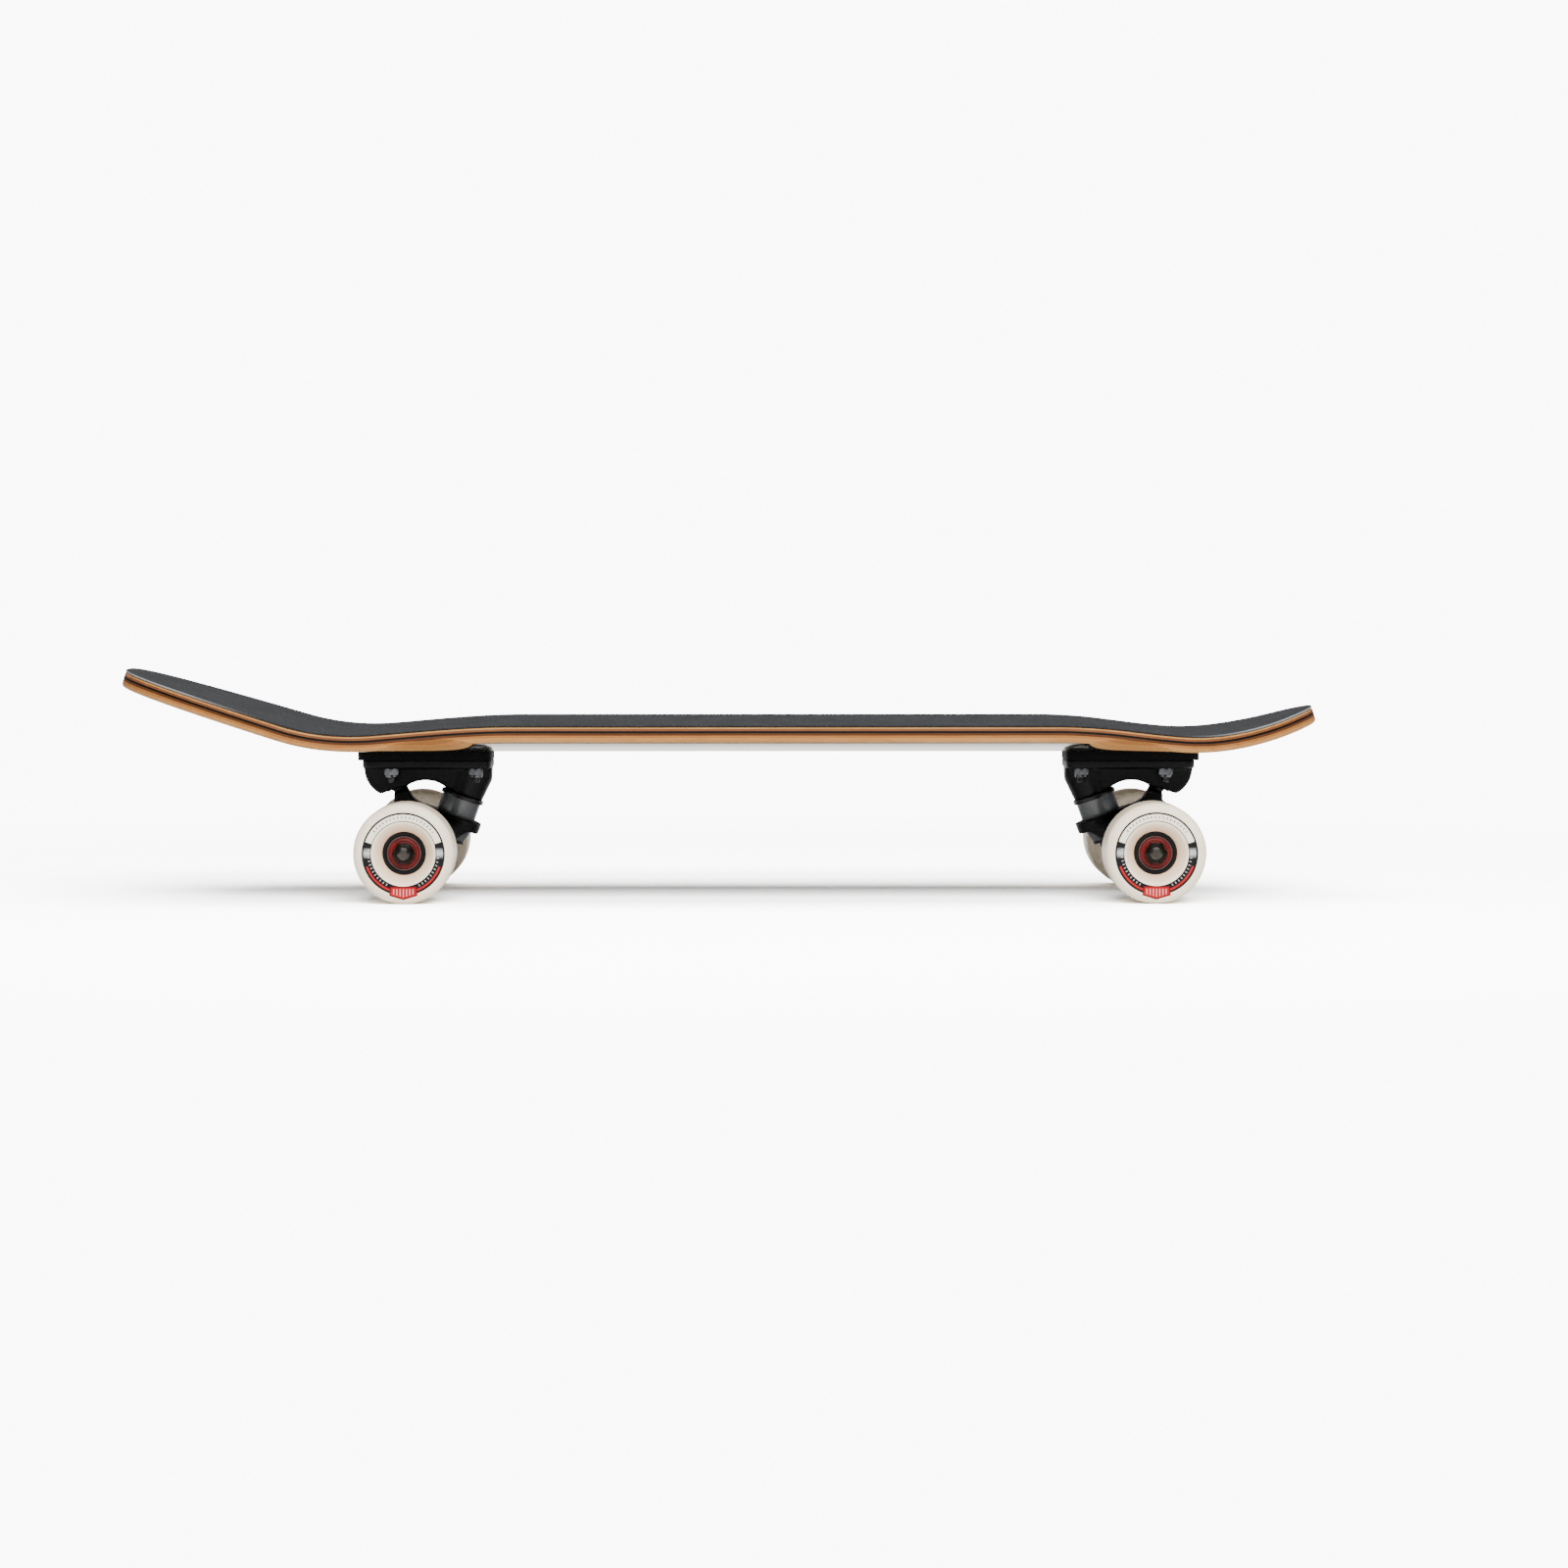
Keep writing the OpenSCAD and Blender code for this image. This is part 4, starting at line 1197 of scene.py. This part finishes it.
class Deck:
    """The plies with their wheel wells and bolt holes, and the grip tape."""

    def __init__(self, paints: Paints) -> None:
        """Takes the materials."""
        self.paints = paints
        self.surface = DeckSurface()

    def bolt_cutter(self) -> Sculpt:
        """Countersunk holes of all eight bolts.

        Returns:
            The cutters in one sculpt.
        """
        made = Sculpt()
        hole, head = TRUCK.bolt / 2 + TRUCK.bolt_gap, TRUCK.bolt_head / 2 + TRUCK.bolt_gap
        low, top = DECK.bottom - OVERRUN, DECK.grip_top
        drop = (TRUCK.bolt_head - TRUCK.bolt) / 2
        high = top + OVERRUN
        profile = [(0, low), (hole, low), (hole, top - drop), (head, top), (head, high), (0, high)]
        for end in End:
            for place in Truck.bolt_places(end):
                made.add(Sculpt().lathe(profile, steps=32).place(Matrix.Translation(place)))
        return made

    def well_cutter(self) -> Sculpt:
        """Long cylinders whose lower sides carve the four wheel wells.

        Returns:
            The cutters in one sculpt.
        """
        made = Sculpt()
        over, reach, count = DECK.well_overrun, DECK.well_reach, DECK.well_rings
        rings = [(DECK.well_radius, -over + (reach + over) * k / count) for k in range(count + 1)]
        for end in End:
            x = end.value + (DECK.well_inboard if end is End.REAR else -DECK.well_inboard)
            for side in Side:
                s = side.value
                edge = self.surface.point(x, DECK.width / 2, -DECK.thickness / 2)
                matrix = (
                    Matrix.Translation((x, s * DECK.width / 2, edge.z + DECK.well_depth))
                    @ Matrix.Rotation(s * (math.pi / 2 + DECK.well_tilt), 4, "X")
                    @ Matrix.Translation((0, -s * DECK.well_radius, 0))
                )
                cylinder = Sculpt().lathe([(0, -over), *rings, (0, reach)], steps=240)
                made.add(cylinder.place(matrix))
        return made

    def store_depth(self, mesh: bpy.types.Mesh) -> list[int]:
        """Stores how many plies lie under each vertex.

        Args:
            mesh: The carved deck.

        Returns:
            1 for each face of the lacquered underside and 0 for each face of cut wood.
        """
        values = []
        for v in mesh.vertices:
            values.append((self.surface.depth(v.co / MM) + DECK.thickness / 2) / DECK.ply)
        mesh.attributes.new("ply", "FLOAT", "POINT").data.foreach_set("value", values)
        return [1 if all(values[i] < 0.02 for i in face.vertices) else 0 for face in mesh.polygons]

    def plies(self) -> None:
        """Shows the plies, carved and drilled."""
        half = DECK.thickness / 2
        sheet = self.surface.slab(0.0, -half, half, DECK.edge_round, both=True).mesh("deck_plies")
        sheet = carved(sheet, self.well_cutter().mesh("wells"))
        sheet = carved(sheet, self.bolt_cutter().mesh("holes"))
        lacquered = self.store_depth(sheet)
        deck = show("deck_plies", sheet, [self.paints.edge, self.paints.underside], ["deck"], smooth=28)
        deck.data.polygons.foreach_set("material_index", lacquered)

    def tape(self) -> None:
        """Shows the grip tape; each face of its cut edge holds how worn it is."""
        half = DECK.thickness / 2
        sheet = self.surface.slab(DECK.grip_inset, half, half + DECK.grip, DECK.grip_round, both=False)
        mesh = carved(sheet.mesh("tape"), self.bolt_cutter().mesh("holes"))
        wear = []
        for face in mesh.polygons:
            x, up = abs((face.center / MM).x), abs(face.normal.z)
            wear.append(self.surface.ease((x - DECK.wear_from) / DECK.wear_run) if up < 0.9 else 0.0)
        mesh.attributes.new("wear", "FLOAT", "FACE").data.foreach_set("value", wear)
        show("grip_sheet", mesh, [self.paints.grip], ["grip_tape"], smooth=40)

    def build(self) -> None:
        """Shows both pieces."""
        self.plies()
        self.tape()


class Truck:
    """One truck: riser, baseplate, kingpin with its bushings, hanger and axle."""

    # voxel of the castings in mm and how often their skin is relaxed, which sets the fillets
    BASEPLATE_SKIN = (0.65, 5)
    HANGER_SKIN = (0.7, 6)

    def __init__(self, end: End, paints: Paints) -> None:
        """Takes its place and the materials."""
        self.end = end
        self.paints = paints

    @staticmethod
    def bolt_places(end: End) -> list[Vector]:
        """Works out where the four bolts of a truck stand.

        Args:
            end: The truck.

        Returns:
            Their places at height 0.
        """
        sx, sy = TRUCK.bolt_spacing
        x, y = sx / 2, sy / 2
        return [end.matrix @ Vector((i * x - TRUCK.bolts_x, j * y, 0)) for i in (-1, 1) for j in (-1, 1)]

    def node(self, name: str) -> str:
        """Name of its CAD node."""
        return f"{self.end.label}_{name}"

    def put(self, name: str, made: Sculpt, paint: bpy.types.Material, smooth: float = 30) -> None:
        """Shows a turned piece.

        Args:
            name: Its node, without the truck's name.
            made: Its shape.
            paint: Its material.
            smooth: Edges that turn by more than this many degrees stay sharp.
        """
        show(self.node(name) + "_turned", made.mesh(name), [paint], [self.node(name)], smooth=smooth)

    def at_bolts(self, make: Callable[[], Sculpt]) -> Sculpt:
        """Stands four copies of a sculpt at the bolts.

        Args:
            make: Makes one copy.

        Returns:
            The four in one sculpt.
        """
        made = Sculpt()
        for place in self.bolt_places(self.end):
            made.add(make().place(Matrix.Translation(place)))
        return made

    def ring(self, name: str, profile: Profile, t: float, paint: bpy.types.Material) -> None:
        """Shows a ring turned round the kingpin.

        Args:
            name: Its node, without the truck's name.
            profile: Its outline, as radius and distance down from t.
            t: Where it starts on the kingpin.
            paint: Its material.
        """
        made = Sculpt().lathe(profile, steps=72, closed=True)
        self.put(name, made.place(self.end.matrix @ TRUCK.on_kingpin(t)), paint, 40)

    def casting(self, name: str, voxel: float, passes: int) -> None:
        """Shows a casting: the CAD node's skin with its inner corners filled and its edges rounded.

        Args:
            name: Its node, without the truck's name.
            voxel: Grain of the skin, in mm.
            passes: How often the skin is relaxed.
        """
        obj = scratch(copy_of_node(self.node(name)))
        skin = obj.modifiers.new("skin", "REMESH")
        skin.mode, skin.voxel_size = "VOXEL", voxel * MM
        flow = obj.modifiers.new("flow", "SMOOTH")
        flow.factor, flow.iterations = 0.5, passes
        mesh = baked(obj, name)
        show(self.node(name) + "_casting", mesh, [self.paints.cast], [self.node(name)], smooth=80)

    def riser(self) -> None:
        """Shows the riser pad with its moulded edges."""
        name = self.node("riser_pad")
        obj = scratch(copy_of_node(name))
        edge = obj.modifiers.new("edge", "BEVEL")
        edge.width, edge.segments = 0.7 * MM, 3
        edge.limit_method, edge.angle_limit = "ANGLE", math.radians(40)
        show(name + "_moulded", baked(obj, "riser"), [self.paints.riser], [name], smooth=30)

    def bolts(self) -> None:
        """Shows the countersunk bolts with their cross recess, cut one slot at a time."""
        top, low = DECK.grip_top, DECK.grip_top - TRUCK.bolt_length
        shank, head = TRUCK.bolt / 2, TRUCK.bolt_head / 2
        outline = [
            (0, low),
            (shank - 0.5, low),
            *thread(shank, low + 0.5, TRUCK.plate_top),
            (shank, top - head + shank),
            (head - 0.1, top - 0.15),
            (head - 0.25, top),
            (0, top),
        ]
        made = self.at_bolts(lambda: Sculpt().lathe(outline, steps=32))
        mesh = made.mesh("bolts")
        length, width, height = TRUCK.recess
        for slot in ((length, width, height), (width, length, height)):
            mesh = carved(mesh, self.at_bolts(lambda: Sculpt().box(slot, (0, 0, top))).mesh("slot"))
        name = self.node("truck_bolts")
        show(name + "_turned", mesh, [self.paints.zinc], [name], smooth=30)

    def nuts(self) -> None:
        """Shows the locking nuts under the plate, collars down."""
        high, collar = TRUCK.nut_height - TRUCK.nut_collar, TRUCK.nut_collar
        plate_bottom = TRUCK.plate_top - TRUCK.plate
        matrix = Matrix.Translation((0, 0, plate_bottom)) @ Matrix.Rotation(math.pi, 4, "X")
        made = self.at_bolts(
            lambda: hexagon(TRUCK.nut, 0, high, TRUCK.bolt / 2, 0.45, collar=collar).place(matrix)
        )
        self.put("truck_nuts", made, self.paints.zinc)

    def bushings(self) -> float:
        """Shows the stack on the kingpin, from the seat down.

        Returns:
            Where the stack ends on the kingpin.
        """
        hole, r, cone = TRUCK.kingpin / 2 + TRUCK.kingpin_gap, TRUCK.bushing / 2, TRUCK.cone / 2
        cup, w = TRUCK.cup / 2, TRUCK.washer
        t = TRUCK.seat_t
        turned_rim = [(cup, 0.9), (cup, 2.5), (cup - 0.25, 2.9), (cup - 0.6, 3.0), (cup - 0.95, 2.8)]
        cup_inside = [(cup - 1.1, 2.3), (cup - 1.15, w + 0.1), (cup - 1.3, w), (hole, w)]
        outline = [(hole, 0), (cup - 0.9, 0), (cup - 0.25, 0.3), *turned_rim, *cup_inside]
        self.ring("top_washer", outline, t, self.paints.black_zinc)
        t += w
        h = TRUCK.top_bushing
        flank = [(r, h - 0.9), (r - 0.25, h - 0.35), (r - 0.8, h)]
        outline = [(hole, 0), (r - 0.5, 0), (r, 0.5), *flank, (hole, h)]
        self.ring("top_bushing", outline, t, self.paints.bushing)
        t += h - TRUCK.yoke_recess + TRUCK.yoke - TRUCK.yoke_recess
        h = TRUCK.bottom_bushing
        flank = [(r, 2.4), (r - 0.15, 3.0), (cone + 0.15, h - 0.6), (cone - 0.5, h)]
        outline = [(hole, 0), (r - 0.5, 0), (r, 0.5), *flank, (hole, h)]
        self.ring("bottom_bushing", outline, t, self.paints.bushing)
        t += h
        rim = cone + TRUCK.washer_overhang
        outline = [(hole, 0), (rim - 0.2, 0), (rim, 0.25), (rim, w - 0.3), (rim - 0.3, w), (hole, w)]
        self.ring("bottom_washer", outline, t, self.paints.black_zinc)
        return t + w

    def kingpin(self, t: float) -> None:
        """Shows the kingpin and its nut.

        Args:
            t: Where the nut starts on the kingpin.
        """
        pin, collar = TRUCK.kingpin / 2, TRUCK.kingpin_nut_collar
        nut = hexagon(TRUCK.kingpin_nut, 0, TRUCK.kingpin_nut_height, pin, 0.8, collar=collar)
        nut.place(self.end.matrix @ TRUCK.on_kingpin(t))
        self.put("kingpin_nut", nut, self.paints.phosphate)
        start = TRUCK.seat_t - TRUCK.kingpin_above
        length = t + TRUCK.kingpin_below - start
        plain = length - TRUCK.kingpin_thread
        threaded = thread(pin, plain, length - 0.8, FINE_PITCH)[1:]
        shaft = [(0, 0), (pin, 0), (pin, plain), *threaded, (pin - 1.0, length), (0, length)]
        bar = Sculpt().lathe(shaft, steps=48)
        bar.add(hexagon(TRUCK.kingpin_nut, -TRUCK.kingpin_head, 0.0, 1.0, 0.7))
        self.put("kingpin", bar.place(self.end.matrix @ TRUCK.on_kingpin(start)), self.paints.phosphate)

    def axle(self) -> None:
        """Shows the axle with its threaded ends, and the two axle nuts."""
        r, end = TRUCK.axle / 2, WHEEL.y + WHEEL.axle_end
        start = WHEEL.y + WHEEL.nut_in
        half = [(r, 0), (r, start - 1), *thread(r, start, end - 1.1, FINE_PITCH), (2.5, end), (0, end)]
        bar = Sculpt().lathe(half, steps=48).mirrored("Z")
        across = Matrix.Translation((0, 0, TRUCK.axle_z)) @ Matrix.Rotation(math.pi / 2, 4, "X")
        self.put("axle", bar.place(self.end.matrix @ across), self.paints.axle)
        nuts = Sculpt()
        for side in Side:
            high, collar = WHEEL.nut_out - WHEEL.nut_collar, WHEEL.nut_collar
            nut = hexagon(WHEEL.nut, WHEEL.nut_in, high, r, 0.7, collar=collar)
            nuts.add(nut.place(wheel_matrix(self.end, side) @ Matrix.Rotation(math.pi / 6, 4, "Z")))
        self.put("axle_nuts", nuts, self.paints.axle_nut)

    def build(self) -> None:
        """Shows all its pieces."""
        self.riser()
        self.casting("baseplate", *self.BASEPLATE_SKIN)
        self.casting("hanger", *self.HANGER_SKIN)
        self.bolts()
        self.nuts()
        self.kingpin(self.bushings())
        self.axle()


class Wheel:
    """One wheel: urethane tyre, core, and the turning parts of its two bearings."""

    def __init__(self, end: End, side: Side, paints: Paints) -> None:
        """Takes its place and the materials."""
        self.end, self.side, self.paints = end, side, paints
        self.matrix = wheel_matrix(end, side)

    def node(self, name: str) -> str:
        """Name of its CAD node."""
        return f"{self.end.label}_{self.side.label}_{name}"

    def put(self, name: str, made: Sculpt, paint: bpy.types.Material, smooth: float = 35) -> None:
        """Places a turned piece on the axle and shows it.

        Args:
            name: Its node, without the wheel's name.
            made: Its shape.
            paint: Its material.
            smooth: Edges that turn by more than this many degrees stay sharp.
        """
        made.place(self.matrix)
        show(self.node(name) + "_turned", made.mesh(name), [paint], [self.node(name)], smooth=smooth)

    def tyre(self) -> None:
        """Shows the tyre; each vertex keeps its place on the wheel's face for the print."""
        w = WHEEL
        flat, lip = w.radius - w.lip, w.half - w.lip
        turns = [math.radians(7.5 * k) for k in range(13)]
        arc = [(flat + w.lip * math.sin(a), lip + w.lip * math.cos(a)) for a in turns]
        dish = [(w.core, w.core_half), (14.1, 13.3), (18.3, 19.9), (18.9, 20.7), (19.6, 21.2)]
        dish += [(20.6, w.half - 0.05), (21.6, w.half)]
        upper = [*dish, *arc, (w.radius, lip / 2)]
        profile = upper + [(r, -z) for r, z in reversed(upper)]
        made = Sculpt().lathe(profile, steps=144, closed=True)
        mesh = made.mesh(self.node("tyre"))
        places = [c for v in mesh.vertices for c in (v.co / MM)]
        mesh.attributes.new("face", "FLOAT_VECTOR", "POINT").data.foreach_set("vector", places)
        to_mm = Matrix.Diagonal((1 / MM, 1 / MM, 1 / MM, 1))
        mesh.transform(Matrix.Diagonal((MM, MM, MM, 1)) @ self.matrix @ to_mm)
        show(self.node("tyre_cast"), mesh, [self.paints.urethane], [self.node("tyre")], smooth=40)

    def core(self) -> None:
        """Shows the core: a sleeve with a ledge between the bearings."""
        w = WHEEL
        inner = w.bearing_middle - w.bearing_half
        mouth = [(w.bearing, w.core_half - 0.3), (w.bearing + 0.3, w.core_half)]
        rim = [(w.core - 0.5, w.core_half), (w.core, w.core_half - 0.4)]
        upper = [(w.core_ledge, inner), (w.bearing, inner), *mouth, *rim]
        profile = upper + [(r, -z) for r, z in reversed(upper)]
        self.put("core", Sculpt().lathe(profile, steps=96, closed=True), self.paints.core)

    def bearings(self) -> None:
        """Shows the outer races with chamfered faces, and ribbed seals set into them."""
        h, mid, r = WHEEL.bearing_half, WHEEL.bearing_middle, WHEEL.bearing
        # the seal lies between these radii, and its flat back at this height
        inner, outer, sunk = 6.35, 10.2, h - 0.75
        face = [(8.8, sunk), (outer, sunk), (outer, h - 0.08), (10.28, h), (10.65, h), (r, h - 0.4)]
        race = face + [(r, -z) for r, z in reversed(face)]
        low_rib = [(6.55, h - 0.25), (6.9, h - 0.25), (7.05, h - 0.38), (7.3, h - 0.38)]
        high_rib = [(7.45, h - 0.25), (8.7, h - 0.25), (8.85, h - 0.42), (9.25, h - 0.42)]
        rim = [(9.45, h - 0.2), (10.05, h - 0.2), (outer, h - 0.3), (outer, sunk)]
        seal = [(inner, sunk), (inner, h - 0.35), *low_rib, *high_rib, *rim]
        races, seals = Sculpt(), Sculpt()
        for z in (-mid, mid):
            races.add(Sculpt().lathe(race, steps=96, closed=True).place(Matrix.Translation((0, 0, z))))
            for turn in (0.0, math.pi):
                matrix = Matrix.Translation((0, 0, z)) @ Matrix.Rotation(turn, 4, "X")
                seals.add(Sculpt().lathe(seal, steps=96, closed=True).place(matrix))
        self.put("outer_races", races, self.paints.race, 30)
        self.put("shields", seals, self.paints.seal, 50)

    def build(self) -> None:
        """Shows all its pieces."""
        self.tyre()
        self.core()
        self.bearings()


# ---------------------------------------------------------------- scene


class Studio:
    """Pale floor, soft lights and the camera, in metres."""

    # brightness of the floor and of the sky as the camera sees them
    GAIN = 3.6
    SKY = 10.0
    # strength of the sky as the board sees it
    FILL = 0.22
    # distances over which the floor fades into the sky
    FADE = (0.45, 1.1)
    # where the lamps point
    AIM = (0.0, 0.0, 0.08)

    LENS = 119.27
    CAMERA_PLACE = (0.005, -3.3356, 0.2159)
    CAMERA_TURN = (math.pi / 2 - 0.04361, 0, -0.0107)

    def floor(self) -> None:
        """Lays a wide floor that is a plain surface to the board and fades into the sky for the camera."""
        bpy.ops.mesh.primitive_plane_add(size=60, location=(0, 0, 0))
        floor = bpy.context.object
        floor.name = "floor"
        s = Shader("studio_floor")
        s.set(Base_Color=linear("F4F4F4"), Roughness=0.6, Specular_IOR_Level=0.2)
        bright = s.node("BsdfDiffuse", {"Color": (self.GAIN, self.GAIN, self.GAIN, 1)})
        even = s.node("Emission", {"Strength": self.SKY})
        place = s.node("TexCoord").outputs["Object"]
        away = s.node("VectorMath", {0: place}, operation="LENGTH").outputs["Value"]
        near, far = self.FADE
        span = {"Value": away, "From Min": near, "From Max": far}
        fade = s.node("MapRange", span, interpolation_type="SMOOTHSTEP")
        ground = s.node("MixShader", {0: fade.outputs[0], 1: bright.outputs[0], 2: even.outputs[0]})
        seen = s.node("LightPath").outputs["Is Camera Ray"]
        both = s.node("MixShader", {0: seen, 1: s.surface.outputs[0], 2: ground.outputs[0]})
        s.feed(s.tree.nodes["Material Output"].inputs["Surface"], both.outputs[0])
        floor.data.materials.append(s.material)

    def light(self, name: str, place: Sequence[float], size: Sequence[float], watts: float) -> None:
        """Hangs a soft box that points at the board.

        Args:
            name: Its name.
            place: Where it hangs.
            size: Its two sides.
            watts: Its power.
        """
        data = bpy.data.lights.new(name, "AREA")
        data.shape, data.size, data.size_y, data.energy = "RECTANGLE", size[0], size[1], watts
        lamp = bpy.data.objects.new(name, data)
        lamp.location = place
        lamp.rotation_euler = (Vector(self.AIM) - Vector(place)).to_track_quat("-Z", "Y").to_euler()
        bpy.context.scene.collection.objects.link(lamp)

    def lights(self) -> None:
        """Hangs the lamps and sets the sky, dim for the board and bright for the camera."""
        self.light("overhead_soft_box", (0.0, 0.1, 2.4), (3.2, 2.4), 130)
        self.light("front_soft_box", (0.4, -2.5, 2.3), (2.6, 1.4), 210)
        world = bpy.data.worlds.new("studio")
        bpy.context.scene.world = world
        world.use_nodes = True
        tree = world.node_tree
        dim, seen = tree.nodes["Background"], tree.nodes.new("ShaderNodeBackground")
        dim.inputs["Strength"].default_value = self.FILL
        seen.inputs["Strength"].default_value = self.SKY
        for sky in (dim, seen):
            sky.inputs["Color"].default_value = (1, 1, 1, 1)
        path, mix = tree.nodes.new("ShaderNodeLightPath"), tree.nodes.new("ShaderNodeMixShader")
        tree.links.new(path.outputs["Is Camera Ray"], mix.inputs[0])
        tree.links.new(dim.outputs[0], mix.inputs[1])
        tree.links.new(seen.outputs[0], mix.inputs[2])
        tree.links.new(mix.outputs[0], tree.nodes["World Output"].inputs["Surface"])

    def camera(self) -> None:
        """Stands the camera beside the board."""
        data = bpy.data.cameras.new("camera")
        data.sensor_width, data.lens = 36.0, self.LENS
        data.clip_start, data.clip_end = 0.05, 100.0
        camera = bpy.data.objects.new("camera", data)
        camera.location = self.CAMERA_PLACE
        camera.rotation_euler = self.CAMERA_TURN
        bpy.context.scene.collection.objects.link(camera)
        bpy.context.scene.camera = camera

    def build(self) -> None:
        """Sets the stage."""
        self.floor()
        self.lights()
        self.camera()


def paint_hidden(paints: Paints) -> None:
    """Gives the CAD nodes that stay in view their materials.

    Args:
        paints: The materials.
    """
    by_ending = {
        "inner_races": paints.race, "ball_sets": paints.race, "bearing_spacers": paints.race,
        "speed_washers": paints.zinc, "pivot_cup": paints.riser,
    }
    for name, obj in frame["nodes"].items():
        for ending, paint in by_ending.items():
            if name.endswith(ending):
                obj.data.materials.clear()
                obj.data.materials.append(paint)


def main() -> None:
    """Builds the board, the studio and the camera."""
    paints = Paints()
    Deck(paints).build()
    for end in End:
        Truck(end, paints).build()
        for side in Side:
            Wheel(end, side, paints).build()
    paint_hidden(paints)
    Studio().build()


if __name__ == "__main__":
    main()
